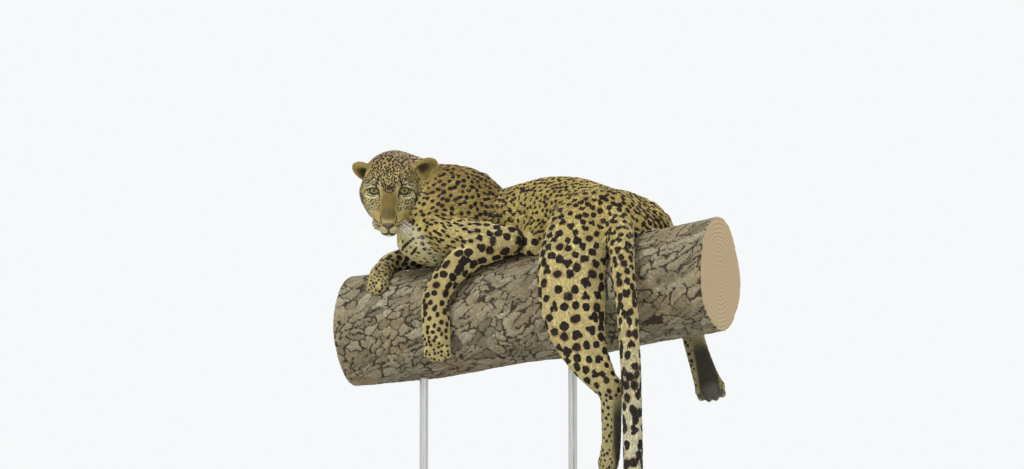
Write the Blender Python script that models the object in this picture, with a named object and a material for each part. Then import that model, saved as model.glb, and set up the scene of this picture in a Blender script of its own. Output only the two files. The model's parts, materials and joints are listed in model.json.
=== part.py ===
"""A leopard resting astride a cut length of bough, life size, on a display stand.

Metres, +Z up. The bough runs along X and the animal's head is at its -X end. The origin is the middle
of the underside of the stand's base. The flesh is one smooth field made of named forms. It is turned
into a mesh, fitted to the bough, and parted at the joints with gaps of 0.3 mm.
"""
import math

import bmesh
import bpy
import numpy as np
from mathutils import Vector

GAP = 0.0003
BODY_CELL = 0.0062
HEAD_CELL = 0.0024
BODY_TRIANGLES = 4900
HEAD_TRIANGLES = 3900

# The bough: its axis rises gently towards +X.
BOUGH_RADIUS = 0.138
BOUGH_LEFT = -0.490
BOUGH_RIGHT = 0.500
BOUGH_HEIGHT = 0.593
BOUGH_RISE = 0.115
BOUGH_BEND = 0.05

# The stand.
BASE_LENGTH = 0.820
BASE_WIDTH = 0.440
BASE_THICK = 0.024
BASE_CORNER = 0.060
ROD_RADIUS = 0.011
ROD_AT = (-0.300, 0.110)
ROD_IN_BOUGH = 0.030
COLLAR_RADIUS = 0.030
COLLAR_THICK = 0.008

# The head: the point between the eyes, the way the face is turned and its downward pitch.
EYE_MIDDLE = np.array((-0.3124, -0.170, 0.884))
FACE_TURN = math.radians(25)
FACE_PITCH = math.radians(32)
EYE_APART = 0.0355
EYE_BACK = 0.009
EYE_RISE = 0.0005
EYE_RADIUS = 0.0140
LID_THICK = 0.0026
LID_OPEN = 0.0125
LID_UP = 0.0048
LID_DOWN = 0.0064

HEAD_X = np.array((math.cos(FACE_TURN), math.sin(FACE_TURN), 0.0))
HEAD_Y = np.array((-math.sin(FACE_TURN) * math.cos(FACE_PITCH), math.cos(FACE_TURN) * math.cos(FACE_PITCH), math.sin(FACE_PITCH)))
HEAD_Z = np.cross(HEAD_X, HEAD_Y)
HEAD_AXES = np.array((HEAD_X, HEAD_Y, HEAD_Z))

# The head meets the neck at this plane.
NECK_POINT = np.array((-0.318, -0.058, 0.905))
NECK_WAY = np.array((-0.451, -0.751, 0.481))

# Stations of each long form: x, y, z of its middle, then its half width, half height up and half height down.
TORSO = (
    (-0.290, -0.098, 0.760, 0.034, 0.036, 0.040),
    (-0.262, -0.068, 0.785, 0.072, 0.078, 0.084),
    (-0.235, -0.035, 0.803, 0.090, 0.118, 0.108),
    (-0.205, -0.005, 0.815, 0.098, 0.140, 0.120),
    (-0.170, 0.020, 0.815, 0.100, 0.118, 0.120),
    (-0.130, 0.040, 0.812, 0.098, 0.094, 0.112),
    (-0.080, 0.053, 0.812, 0.094, 0.095, 0.104),
    (-0.020, 0.058, 0.816, 0.094, 0.104, 0.102),
    (0.032, 0.054, 0.820, 0.097, 0.108, 0.100),
    (0.090, 0.042, 0.822, 0.101, 0.101, 0.100),
    (0.140, 0.026, 0.818, 0.103, 0.090, 0.100),
    (0.190, 0.010, 0.808, 0.100, 0.082, 0.100),
    (0.240, 0.002, 0.793, 0.088, 0.072, 0.090),
    (0.285, 0.008, 0.775, 0.060, 0.052, 0.066),
)
NECK = (
    (-0.205, -0.004, 0.835, 0.088, 0.122, 0.100),
    (-0.245, -0.018, 0.862, 0.080, 0.104, 0.095),
    (-0.285, -0.030, 0.890, 0.074, 0.085, 0.085),
    (-0.322, -0.048, 0.915, 0.070, 0.074, 0.078),
    (-0.345, -0.078, 0.935, 0.066, 0.064, 0.070),
    (-0.338, -0.112, 0.930, 0.060, 0.055, 0.066),
)
UPPER_ARM_LEFT = (
    (-0.205, -0.072, 0.815, 0.052, 0.060, 0.060),
    (-0.198, -0.098, 0.782, 0.050, 0.052, 0.056),
    (-0.140, -0.094, 0.772, 0.046, 0.050, 0.052),
    (-0.080, -0.082, 0.768, 0.040, 0.046, 0.046),
    (-0.030, -0.072, 0.760, 0.035, 0.040, 0.040),
)
FOREARM_LEFT = (
    (-0.030, -0.072, 0.758, 0.038, 0.040, 0.040),
    (-0.078, -0.082, 0.744, 0.042, 0.042, 0.042),
    (-0.123, -0.096, 0.724, 0.040, 0.041, 0.042),
    (-0.166, -0.136, 0.670, 0.036, 0.036, 0.036),
    (-0.190, -0.156, 0.615, 0.034, 0.031, 0.031),
    (-0.186, -0.163, 0.560, 0.036, 0.027, 0.027),
    (-0.182, -0.166, 0.515, 0.035, 0.024, 0.024),
)
UPPER_ARM_RIGHT = (
    (-0.285, 0.030, 0.840, 0.050, 0.056, 0.056),
    (-0.285, 0.052, 0.795, 0.050, 0.054, 0.054),
    (-0.245, 0.092, 0.765, 0.046, 0.050, 0.050),
    (-0.205, 0.118, 0.742, 0.040, 0.040, 0.042),
)
FOREARM_RIGHT = (
    (-0.205, 0.118, 0.740, 0.038, 0.040, 0.040),
    (-0.270, 0.100, 0.735, 0.038, 0.038, 0.038),
    (-0.347, 0.054, 0.735, 0.033, 0.035, 0.035),
    (-0.393, 0.006, 0.722, 0.028, 0.030, 0.030),
    (-0.394, -0.034, 0.701, 0.028, 0.027, 0.027),
    (-0.385, -0.078, 0.680, 0.030, 0.026, 0.026),
    (-0.378, -0.105, 0.656, 0.029, 0.023, 0.023),
)
THIGH_LEFT = (
    (0.180, -0.055, 0.800, 0.085, 0.060, 0.060),
    (0.178, -0.105, 0.755, 0.090, 0.058, 0.058),
    (0.180, -0.155, 0.678, 0.087, 0.052, 0.052),
    (0.187, -0.176, 0.599, 0.081, 0.047, 0.047),
    (0.202, -0.182, 0.526, 0.069, 0.041, 0.041),
    (0.226, -0.180, 0.466, 0.054, 0.034, 0.034),
    (0.258, -0.172, 0.413, 0.039, 0.027, 0.027),
    (0.280, -0.165, 0.382, 0.028, 0.025, 0.025),
)
FOOT_LEFT_HIND = (
    (0.284, -0.165, 0.392, 0.029, 0.024, 0.024),
    (0.283, -0.165, 0.335, 0.026, 0.023, 0.023),
    (0.283, -0.165, 0.263, 0.024, 0.024, 0.024),
    (0.277, -0.166, 0.211, 0.026, 0.032, 0.032),
)
THIGH_RIGHT = (
    (0.235, 0.030, 0.790, 0.085, 0.060, 0.060),
    (0.255, 0.085, 0.775, 0.088, 0.058, 0.058),
    (0.250, 0.150, 0.715, 0.084, 0.050, 0.050),
    (0.225, 0.180, 0.660, 0.070, 0.046, 0.046),
)
SHANK_RIGHT = (
    (0.205, 0.182, 0.640, 0.056, 0.048, 0.048),
    (0.265, 0.186, 0.608, 0.047, 0.040, 0.040),
    (0.318, 0.184, 0.570, 0.035, 0.030, 0.030),
    (0.350, 0.178, 0.545, 0.029, 0.027, 0.027),
)
FOOT_RIGHT_HIND = (
    (0.353, 0.176, 0.548, 0.029, 0.026, 0.026),
    (0.376, 0.160, 0.489, 0.029, 0.023, 0.023),
    (0.400, 0.147, 0.432, 0.032, 0.022, 0.022),
    (0.418, 0.137, 0.395, 0.037, 0.021, 0.021),
)
TAIL = (
    (0.232, -0.010, 0.832, 0.040),
    (0.269, -0.075, 0.785, 0.0355),
    (0.300, -0.142, 0.726, 0.0335),
    (0.322, -0.182, 0.662, 0.0300),
    (0.334, -0.192, 0.595, 0.0273),
    (0.340, -0.194, 0.521, 0.0261),
    (0.345, -0.194, 0.445, 0.0258),
    (0.347, -0.193, 0.369, 0.0250),
    (0.349, -0.192, 0.277, 0.0248),
    (0.349, -0.190, 0.195, 0.0246),
    (0.346, -0.184, 0.122, 0.0230),
    (0.336, -0.170, 0.074, 0.0190),
)
# Each paw: where the toes start, the way they point, the way across the paw, the way the pads face, and sizes.
PAWS = {
    "fore_left": ((-0.182, -0.164, 0.512), (0.03, 0.02, -1.0), (0.906, 0.423, 0.0), (-0.4, 0.9, 0.0), 0.0152, 0.056, 0.0128),
    "fore_right": ((-0.377, -0.106, 0.655), (0.14, -0.42, -0.90), (0.93, 0.30, 0.0), (0.1, 0.85, -0.5), 0.0130, 0.022, 0.0115),
    "hind_left": ((0.276, -0.166, 0.208), (-0.16, -0.02, -1.0), (-0.423, 0.906, 0.0), (0.9, 0.42, -0.1), 0.0155, 0.046, 0.0125),
    "hind_right": ((0.420, 0.136, 0.394), (0.25, -0.18, -0.95), (0.906, 0.35, 0.16), (0.3, -0.93, 0.2), 0.0165, 0.036, 0.0125),
}
# Rounded forms of the flesh: middle, three half sizes, and how widely each melts into its neighbours.
SHOULDER_BLADE = ((-0.190, -0.060, 0.865), (0.060, 0.030, 0.080), 0.030)
HIP_BONE = ((0.215, -0.045, 0.835), (0.060, 0.040, 0.040), 0.030)
BUTTOCK_RIGHT = ((0.300, 0.052, 0.790), (0.046, 0.050, 0.042), 0.025)
BELLY_LEFT = ((0.060, -0.030, 0.750), (0.090, 0.045, 0.050), 0.035)
BELLY_RIGHT = ((0.060, 0.120, 0.755), (0.120, 0.045, 0.055), 0.035)

# Forms of the head in its own axes, x to the animal's left, y back from the face and z up, in millimetres.
SKULL_FORMS = (
    ((0, 62, 12), (66, 72, 55), 12),
    ((0, 28, -14), (61, 44, 46), 18),
    ((0, 10, 20), (42, 28, 28), 20),
)
PAIRED_FORMS = (
    ((44, 34, -22), (33, 44, 38), 16),
    ((33, 10, 16), (23, 14, 9), 14),
    ((33, 2, -42), (27, 36, 27), 20),
    ((22, -24, -43), (23, 44, 22), 20),
    ((19, -63, -58), (22.5, 23, 18), 12),
)
ORBIT = ((45, -24, 1), (19, 19, 12), 12)
BRIDGE = ((0, 6, 8, 23, 16, 24), (0, -36, -16, 19, 14, 24), (0, -70, -36, 17.5, 12, 20), (0, -83, -44, 14.5, 9, 14))
JAW = ((0, 40, -52, 46, 30, 30), (0, 0, -62, 38, 26, 24), (0, -38, -72, 27, 20, 19), (0, -62, -79, 21, 15, 14.5))
THROAT = ((0, 30, -45, 50, 30, 34), (8, 75, -42, 56, 36, 40))
NOSE = (((0, -87, -47), (14.5, 9.5, 8.5), 4), ((0, -89, -53), (8, 8, 8), 4))
LIP_LINE = ((0, -90, -71), (12, -88, -77.5), (26, -77, -81), (38, -54, -77), (45, -26, -68), (46, -4, -60))
PHILTRUM = ((0, -98, -56), (0, -94, -63), (0, -91, -72))
NOSTRIL = ((3.5, -99, -52.5), (7.5, -98, -48.5), (12.5, -94, -47.5))
# Each ear: middle, the way from base to tip, the way the cup faces, and half sizes.
EARS = {
    "ear_right": ((-64, 70, 20), (-0.80, 0.10, 0.55), (-0.30, -0.93, -0.15), (35, 25, 12)),
    "ear_left": ((84, 70, 28), (0.82, 0.10, 0.52), (0.22, -0.95, -0.05), (39, 27, 12)),
}
# Where each limb is parted from the trunk: a point on the seam, the way out of the trunk, and how far the cut
# reaches low and high along that way and the two ways across it. The cuts after it part the limb at its joints.
LIMBS = {
    "arm_left": {
        "at": (-0.140, -0.067, 0.700), "way": (0.28, -0.96, 0.0), "low": (0.0, -0.20, -0.30), "high": (0.20, 0.15, 0.22),
        "cuts": (
            ((-0.100, -0.090, 0.745), (-0.25, -0.10, 0.96), 0.21),
            ((-0.188, -0.155, 0.612), (-0.02, -0.03, -0.11), 0.06),
        ),
        "names": {
            "upper_arm_left": (-0.11, -0.10, 0.780), "forearm_left": (-0.12, -0.11, 0.70),
            "forepaw_left": (-0.18, -0.165, 0.53),
        },
    },
    "arm_right": {
        "at": (-0.250, 0.0525, 0.750), "way": (-0.55, 0.835, 0.0), "low": (0.0, -0.20, -0.10), "high": (0.18, 0.20, 0.095),
        "cuts": (((-0.235, 0.100, 0.757), (0.35, 0.10, 0.93), 0.20),),
        "names": {"upper_arm_right": (-0.26, 0.08, 0.79), "forearm_right": (-0.31, 0.07, 0.735)},
    },
    "leg_left": {
        "at": (0.200, -0.082, 0.740), "way": (0.0, -0.93, -0.37), "low": (0.0, -0.15, -0.70), "high": (0.50, 0.16, 0.20),
        "cuts": (
            ((0.208, -0.181, 0.515), (0.30, 0.0, -1.0), 0.12),
            ((0.282, -0.165, 0.366), (0.0, 0.0, -1.0), 0.055),
        ),
        "names": {
            "thigh_left": (0.18, -0.15, 0.66), "shank_left": (0.24, -0.176, 0.43), "hind_foot_left": (0.28, -0.165, 0.25),
        },
    },
    "leg_right": {
        "at": (0.310, 0.075, 0.770), "way": (0.0, 0.93, -0.37), "low": (0.0, -0.18, -0.55), "high": (0.40, 0.18, 0.20),
        "cuts": (
            ((0.240, 0.180, 0.660), (0.35, 0.15, -0.92), 0.12),
            ((0.354, 0.174, 0.536), (0.35, -0.20, -0.90), 0.055),
        ),
        "names": {
            "thigh_right": (0.25, 0.13, 0.74), "shank_right": (0.27, 0.18, 0.60), "hind_foot_right": (0.40, 0.15, 0.43),
        },
    },
}
TRUNK_CUTS = (
    ((-0.250, -0.020, 0.865), (-0.75, -0.20, 0.63), 0.18),
    ((-0.095, 0.050, 0.800), (1.0, -0.10, 0.0), 0.20),
    ((0.115, 0.035, 0.800), (1.0, -0.20, 0.0), 0.22),
)
TRUNK_NAMES = {
    "neck": (-0.31, -0.03, 0.90), "chest": (-0.19, 0.0, 0.82), "midriff": (0.01, 0.05, 0.82), "hips": (0.19, 0.01, 0.81),
}
# Colour, roughness and metallic of each node, by the start of its name.
TAWNY, CREAM = (0.62, 0.40, 0.16), (0.72, 0.56, 0.30)
LOOKS = (
    ("eye_", ((0.45, 0.47, 0.26), 0.12)), ("perch_branch", ((0.22, 0.18, 0.14), 0.9)),
    ("stand_base", ((0.055, 0.030, 0.018), 0.35)), ("stand_rod", ((0.55, 0.55, 0.56), 0.32, 1.0)),
    ("fore", (CREAM, 0.85)), ("upper_arm", (CREAM, 0.85)), ("thigh", (CREAM, 0.85)), ("shank", (CREAM, 0.85)),
    ("hind_foot", (CREAM, 0.85)), ("", (TAWNY, 0.85)),
)
UP = np.array((0.0, 0.0, 1.0))
# Limbs take their half width across this direction and their other half sizes along it.
DEEP = np.array((-0.4226, 0.9063, 0.0))


def unit(v):
    v = np.asarray(v, float)
    return v / np.linalg.norm(v)


def bough_axis(x):
    return BOUGH_HEIGHT + BOUGH_RISE * x + BOUGH_BEND * x * x


def bough_radius(x, turn):
    lumps = 0.0035 * np.sin(2 * turn + 6 * x + 0.4) + 0.0030 * np.sin(3 * turn - 11 * x + 1.9)
    return BOUGH_RADIUS + lumps + 0.0022 * np.sin(5 * turn + 17 * x)


def smooth_min(a, b, k):
    h = np.maximum(k - np.abs(a - b), 0.0) / k
    return np.minimum(a, b) - h * h * k * 0.25


def smooth_max(a, b, k):
    return -smooth_min(-a, -b, k)


def near(points, low, high, margin):
    return np.nonzero(np.all((points > low - margin) & (points < high + margin), axis=1))[0]


def ellipsoid(q, sizes):
    k0 = np.linalg.norm(q / sizes, axis=1)
    k1 = np.linalg.norm(q / (sizes * sizes), axis=1)
    return k0 * (k0 - 1.0) / np.maximum(k1, 1e-9)


def spread(stations, count):
    """The stations with more between them, along a smooth curve through them all."""
    s = np.array(stations, float)
    ends = np.vstack((2 * s[0] - s[1], s, 2 * s[-1] - s[-2]))
    rows = []
    for i in range(len(s) - 1):
        a, b, c, d = ends[i], ends[i + 1], ends[i + 2], ends[i + 3]
        for t in np.arange(count) / count:
            rows.append(0.5 * (2 * b + (c - a) * t + (2 * a - 5 * b + 4 * c - d) * t * t + (3 * b - a - 3 * c + d) * t ** 3))
    rows.append(s[-1])
    return np.array(rows)


def tube(p, stations, up=UP, count=3):
    """Distance to a bent form with an egg-shaped section that follows its stations."""
    rows = spread(stations, count)
    best = np.full(len(p), 1.0)
    for a, b in zip(rows[:-1], rows[1:]):
        along = b[:3] - a[:3]
        length = np.linalg.norm(along)
        along = along / length
        across = unit(np.cross(along, up))
        rise = np.cross(across, along)
        t = np.clip((p - a[:3]) @ along / length, 0.0, 1.0)
        q = p - a[:3] - t[:, None] * (along * length)
        sizes = a[3:] + t[:, None] * (b[3:] - a[3:])
        u, v, w = q @ across, q @ rise, q @ along
        side = sizes[:, 0]
        tall = np.where(v > 0, sizes[:, 1], sizes[:, 2])
        end = np.minimum(side, tall)
        k0 = np.sqrt((u / side) ** 2 + (v / tall) ** 2 + (w / end) ** 2)
        k1 = np.sqrt((u / side ** 2) ** 2 + (v / tall ** 2) ** 2 + (w / end ** 2) ** 2)
        best = np.minimum(best, np.where(k0 < 1e-6, -end, k0 * (k0 - 1.0) / np.maximum(k1, 1e-9)))
    return best


def add_tube(field, p, stations, melt, up=UP):
    s = np.array(stations, float)
    reach = s[:, 3:].max()
    at = near(p, s[:, :3].min(0) - reach, s[:, :3].max(0) + reach, melt + 0.012)
    if len(at):
        field[at] = smooth_min(field[at], tube(p[at], stations, up), melt)


def add_ball(field, p, middle, sizes, melt, axes=None):
    c, r = np.array(middle, float), np.array(sizes, float)
    at = near(p, c - r.max(), c + r.max(), melt + 0.012)
    if len(at):
        q = p[at] - c
        field[at] = smooth_min(field[at], ellipsoid(q if axes is None else q @ axes.T, r), melt)


def rod_distance(p, path):
    best = np.full(len(p), 1.0)
    for a, b in zip(path[:-1], path[1:]):
        ab = b - a
        t = np.clip((p - a) @ ab / (ab @ ab), 0, 1)
        best = np.minimum(best, np.linalg.norm(p - a - t[:, None] * ab, axis=1))
    return best


def add_paw(field, p, paw):
    start, way, across, face, step, length, r = paw
    start, way, across, face = np.array(start), unit(way), unit(across), unit(face)
    axes = np.array((across, way, face))
    add_ball(field, p, start + way * 0.004, (step * 2.1, 0.026, r * 1.7), 0.012, axes)
    for i, side in enumerate((-1.5, -0.5, 0.5, 1.5)):
        root = start + across * side * step * 0.85 + way * 0.004
        reach = length * (1.0 if abs(side) < 1 else 0.84)
        tip = start + across * side * step * 1.02 + way * (reach - r)
        row = ((*root, r, r, r), (*(0.5 * (root + tip) - face * 0.003), r * 1.04, r * 1.1, r * 1.1), (*tip, r * 0.92, r * 0.95, r * 0.95))
        add_tube(field, p, row, 0.0045, up=face)
        add_ball(field, p, tip + face * r * 0.55, (0.0075, 0.0095, 0.0072), 0.003, axes)
    add_ball(field, p, start + face * r * 1.25 + way * 0.002, (0.0185, 0.0135, 0.0075), 0.004, axes)


def head_field(q):
    """Distance to the head's flesh, at points in its own axes and in metres."""
    mm = 0.001
    f = np.full(len(q), 0.05)
    mirrored = np.column_stack((np.abs(q[:, 0]), q[:, 1], q[:, 2]))

    def ball(c, r, k, points=q):
        return smooth_min(f, ellipsoid(points - np.array(c) * mm, np.array(r) * mm), k * mm)

    for c, r, k in SKULL_FORMS:
        f = ball(c, r, k)
    for c, r, k in PAIRED_FORMS[:4]:
        f = ball(c, r, k, mirrored)
    for rows, k in ((BRIDGE, 14), (JAW, 10), (THROAT, 20)):
        f = smooth_min(f, tube(q, np.array(rows) * mm), k * mm)
    f = ball(*PAIRED_FORMS[4], mirrored)
    for form in NOSE:
        f = ball(*form)
    c, r, k = ORBIT
    f = smooth_max(f, -ellipsoid(mirrored - np.array(c) * mm, np.array(r) * mm), k * mm)
    eye = np.array((EYE_APART, EYE_BACK, EYE_RISE))
    d = mirrored - eye
    f = smooth_min(f, np.linalg.norm(d, axis=1) - (EYE_RADIUS + LID_THICK), 0.007)
    out = unit((0.26, -0.96, 0.10))
    wide = unit((-0.96, -0.26, -0.22))
    tall = unit(np.cross(out, wide))
    s, t, n = d @ wide, d @ tall, d @ out
    bow = 1 - np.abs(s / LID_OPEN) ** 2.2
    slit = np.maximum(t - LID_UP * bow, -LID_DOWN * bow - t) * 0.75
    f = smooth_max(f, -np.maximum(slit, 0.004 - n), 0.0014)
    f = smooth_max(f, 0.0016 - rod_distance(mirrored, np.array(LIP_LINE) * mm), 0.003)
    f = smooth_max(f, 0.0013 - rod_distance(q, np.array(PHILTRUM) * mm), 0.003)
    return smooth_max(f, 0.0024 - rod_distance(mirrored, np.array(NOSTRIL) * mm), 0.0016)


def ear_axes(ear):
    way, face = unit(ear[1]), unit(ear[2])
    face = unit(face - way * (face @ way))
    return np.array((way, np.cross(face, way), face))


def add_ears(f, q):
    for ear in EARS.values():
        c, r = np.array(ear[0]) * 0.001, np.array(ear[3]) * 0.001
        axes = ear_axes(ear)
        d = (q - c) @ axes.T
        outer = ellipsoid(d, r)
        outer = smooth_max(outer, d[:, 2] - 0.0075, 0.005)
        inner = ellipsoid(d - np.array((-0.004, 0, 0.0090)), np.array((r[0] - 0.0100, r[1] - 0.0082, 0.0130)))
        f = smooth_min(f, outer, 0.010)
        f = smooth_max(f, -inner, 0.0030)
    return f


def flesh(p, ears=True):
    """Distance to the whole animal apart from its tail, at points in the frame of the part."""
    f = np.full(len(p), 0.05)
    add_tube(f, p, TORSO, 0.020)
    add_tube(f, p, NECK, 0.030)
    for ball in (SHOULDER_BLADE, HIP_BONE, BELLY_LEFT, BELLY_RIGHT):
        add_ball(f, p, *ball)
    add_tube(f, p, THIGH_LEFT, 0.030, DEEP)
    add_tube(f, p, FOOT_LEFT_HIND, 0.012, DEEP)
    add_tube(f, p, THIGH_RIGHT, 0.030, DEEP)
    add_ball(f, p, *BUTTOCK_RIGHT)
    add_tube(f, p, SHANK_RIGHT, 0.015, DEEP)
    add_tube(f, p, FOOT_RIGHT_HIND, 0.012, DEEP)
    add_tube(f, p, UPPER_ARM_LEFT, 0.022, DEEP)
    add_tube(f, p, FOREARM_LEFT, 0.010, DEEP)
    add_tube(f, p, UPPER_ARM_RIGHT, 0.022, DEEP)
    add_tube(f, p, FOREARM_RIGHT, 0.012, DEEP)
    for paw in PAWS.values():
        add_paw(f, p, paw)
    q = (p - EYE_MIDDLE) @ HEAD_AXES.T
    at = near(q, np.array((-0.125, -0.110, -0.110)), np.array((0.140, 0.140, 0.085)), 0.0)
    if len(at):
        head = smooth_min(head_field(q[at]), f[at], 0.014)
        f[at] = add_ears(head, q[at]) if ears else head
    return f


def earless(p):
    return flesh(p, ears=False)


def net(field, low, high, cell, axes=None, origin=None):
    """A closed quad mesh of the surface where the field is zero, as points and faces."""
    counts = np.ceil((np.array(high) - low) / cell).astype(int) + 1
    steps = [low[i] + cell * np.arange(counts[i]) for i in range(3)]
    block = 8
    values = np.full(counts, 0.05, np.float32)
    mids = np.array(np.meshgrid(*[s[: len(s)][block // 2 :: block] for s in steps], indexing="ij"))
    lows = [np.arange(0, counts[i], block) for i in range(3)]
    mids = np.array(np.meshgrid(*[low[i] + cell * (lows[i] + block / 2) for i in range(3)], indexing="ij")).reshape(3, -1).T
    starts = np.array(np.meshgrid(*lows, indexing="ij")).reshape(3, -1).T

    def at(points):
        return field(points if axes is None else origin + points @ axes)

    reach = cell * block * 0.90
    middle = at(mids)
    inside = middle <= -reach
    for s in starts[inside]:
        values[s[0] : s[0] + block, s[1] : s[1] + block, s[2] : s[2] + block] = -0.05
    live = starts[np.abs(middle) < reach]
    offsets = np.array(np.meshgrid(*[np.arange(block)] * 3, indexing="ij")).reshape(3, -1).T
    index = (live[:, None, :] + offsets[None]).reshape(-1, 3)
    index = index[np.all(index < counts, axis=1)]
    for part in np.array_split(index, max(1, len(index) // 400000)):
        values[part[:, 0], part[:, 1], part[:, 2]] = at(np.array(low) + part * cell)
    for axis in range(3):
        edge = [slice(None)] * 3
        for end in (0, -1):
            edge[axis] = end
            values[tuple(edge)] = np.maximum(values[tuple(edge)], cell * 0.5)
    sign = values < 0
    corners = [np.array(c) for c in np.ndindex(2, 2, 2)]

    def shifted(a, c):
        return a[tuple(slice(c[i], a.shape[i] - 1 + c[i]) for i in range(3))]

    any_in = np.zeros(np.array(counts) - 1, bool)
    all_in = np.ones(np.array(counts) - 1, bool)
    for c in corners:
        any_in |= shifted(sign, c)
        all_in &= shifted(sign, c)
    cells = np.argwhere(any_in & ~all_in)
    number = np.full(np.array(counts) - 1, -1, np.int64)
    number[tuple(cells.T)] = np.arange(len(cells))
    total = np.zeros((len(cells), 3))
    hits = np.zeros(len(cells))
    for a in corners:
        for axis in range(3):
            if a[axis]:
                continue
            b = a.copy()
            b[axis] = 1
            va, vb = values[tuple((cells + a).T)], values[tuple((cells + b).T)]
            cross = (va < 0) != (vb < 0)
            t = np.where(cross, va / np.where(cross, va - vb, 1), 0)
            spot = a + t[:, None] * (b - a)
            total += np.where(cross[:, None], spot, 0)
            hits += cross
    points = np.array(low) + (cells + total / hits[:, None]) * cell
    faces = []
    for axis in range(3):
        u, v = (axis + 1) % 3, (axis + 2) % 3
        step = np.zeros(3, int)
        step[axis] = 1
        a = sign[tuple(slice(0, counts[i] - step[i]) for i in range(3))]
        b = sign[tuple(slice(step[i], counts[i]) for i in range(3))]
        edges = np.argwhere(a != b)
        edges = edges[(edges[:, u] > 0) & (edges[:, v] > 0)]
        edges = edges[(edges[:, u] < counts[u] - 1) & (edges[:, v] < counts[v] - 1)]
        du, dv = np.zeros(3, int), np.zeros(3, int)
        du[u], dv[v] = 1, 1
        quad = np.stack([number[tuple((edges - m).T)] for m in (du + dv, dv, 0 * du, du)], axis=1)
        start_in = sign[tuple(edges.T)]
        faces.append(np.where(start_in[:, None], quad, quad[:, ::-1]))
    return points if axes is None else origin + points @ axes, np.vstack(faces)


def mesh_object(name, points, faces):
    mesh = bpy.data.meshes.new(name)
    mesh.from_pydata([tuple(p) for p in points], [], [tuple(int(i) for i in f) for f in faces])
    mesh.update()
    obj = bpy.data.objects.new(name, mesh)
    bpy.context.scene.collection.objects.link(obj)
    return obj


def baked(obj):
    """The object with its modifiers made part of its mesh."""
    bpy.context.view_layer.update()
    graph = bpy.context.evaluated_depsgraph_get()
    mesh = bpy.data.meshes.new_from_object(obj.evaluated_get(graph))
    old = obj.data
    obj.modifiers.clear()
    obj.data = mesh
    bpy.data.meshes.remove(old)
    return obj


def thinned(obj, triangles):
    modifier = obj.modifiers.new("Thin", "DECIMATE")
    now = sum(len(f.vertices) - 2 for f in obj.data.polygons)
    modifier.ratio = min(1.0, triangles / now)
    modifier.use_collapse_triangulate = True
    return baked(obj)


def boolean(obj, other, operation):
    modifier = obj.modifiers.new("Cut", "BOOLEAN")
    modifier.operation = operation
    modifier.solver = "MANIFOLD"
    modifier.object = other
    return baked(obj)


def copy_of(obj, name):
    new = bpy.data.objects.new(name, obj.data.copy())
    bpy.context.scene.collection.objects.link(new)
    return new


def box(name, middle, axes, halves):
    """A box with its own axes. The axes are rows and the halves are its half sizes."""
    m, a = np.array(middle, float), np.array(axes, float)
    signs = ((-1, -1, -1), (1, -1, -1), (1, 1, -1), (-1, 1, -1), (-1, -1, 1), (1, -1, 1), (1, 1, 1), (-1, 1, 1))
    points = [m + (np.array(s) * halves) @ a for s in signs]
    faces = ((3, 2, 1, 0), (4, 5, 6, 7), (0, 1, 5, 4), (1, 2, 6, 5), (2, 3, 7, 6), (3, 0, 4, 7))
    obj = mesh_object(name, points, faces)
    if np.linalg.det(a) < 0:
        for f in obj.data.polygons:
            f.flip()
    return obj


def axes_from(normal, hint=UP):
    n = unit(normal)
    a = unit(np.cross(hint, n))
    return np.array((n, a, np.cross(n, a)))


def remove(obj):
    mesh = obj.data
    bpy.data.objects.remove(obj)
    bpy.data.meshes.remove(mesh)


def split_off(obj, name, middle, axes, halves):
    """Parts the object at a box: what is in the box becomes a new object, and a gap is left round it."""
    inner = box("inner", middle, axes, np.array(halves))
    outer = box("outer", middle, axes, np.array(halves) + GAP)
    piece = boolean(copy_of(obj, name), inner, "INTERSECT")
    boolean(obj, outer, "DIFFERENCE")
    remove(inner)
    remove(outer)
    return piece


def slab(middle, normal, half):
    return box("slab", middle, axes_from(normal, hint=(0.3, 0.2, 0.93)), (GAP / 2, half, half))


def islands(obj, smallest=20):
    """The separate bodies of a mesh, each as points and faces. Crumbs are left out."""
    mesh = bmesh.new()
    mesh.from_mesh(obj.data)
    left = set(mesh.verts)
    found = []
    while left:
        seed = left.pop()
        body, front = {seed}, [seed]
        while front:
            for edge in front.pop().link_edges:
                for v in edge.verts:
                    if v in left:
                        left.discard(v)
                        body.add(v)
                        front.append(v)
        if len(body) < smallest:
            continue
        order = {v: i for i, v in enumerate(body)}
        faces = [[order[v] for v in f.verts] for f in mesh.faces if f.verts[0] in body]
        found.append((np.array([v.co[:] for v in order]), faces))
    mesh.free()
    return found


def parted(obj, cuts, names):
    """Cuts an object with thin slabs and names each body after the nearest of the given middles."""
    for middle, normal, half in cuts:
        cutter = slab(middle, normal, half)
        boolean(obj, cutter, "DIFFERENCE")
        remove(cutter)
    bodies = islands(obj)
    pairs = sorted(
        (float(np.linalg.norm(points.mean(0) - np.array(names[name]))), i, name)
        for i, (points, faces) in enumerate(bodies) for name in names
    )
    named, used = {}, set()
    for distance, i, name in pairs:
        if name not in named and i not in used:
            named[name] = bodies[i]
            used.add(i)
    remove(obj)
    return [mesh_object(name, *named[name]) for name in names if name in named]


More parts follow.
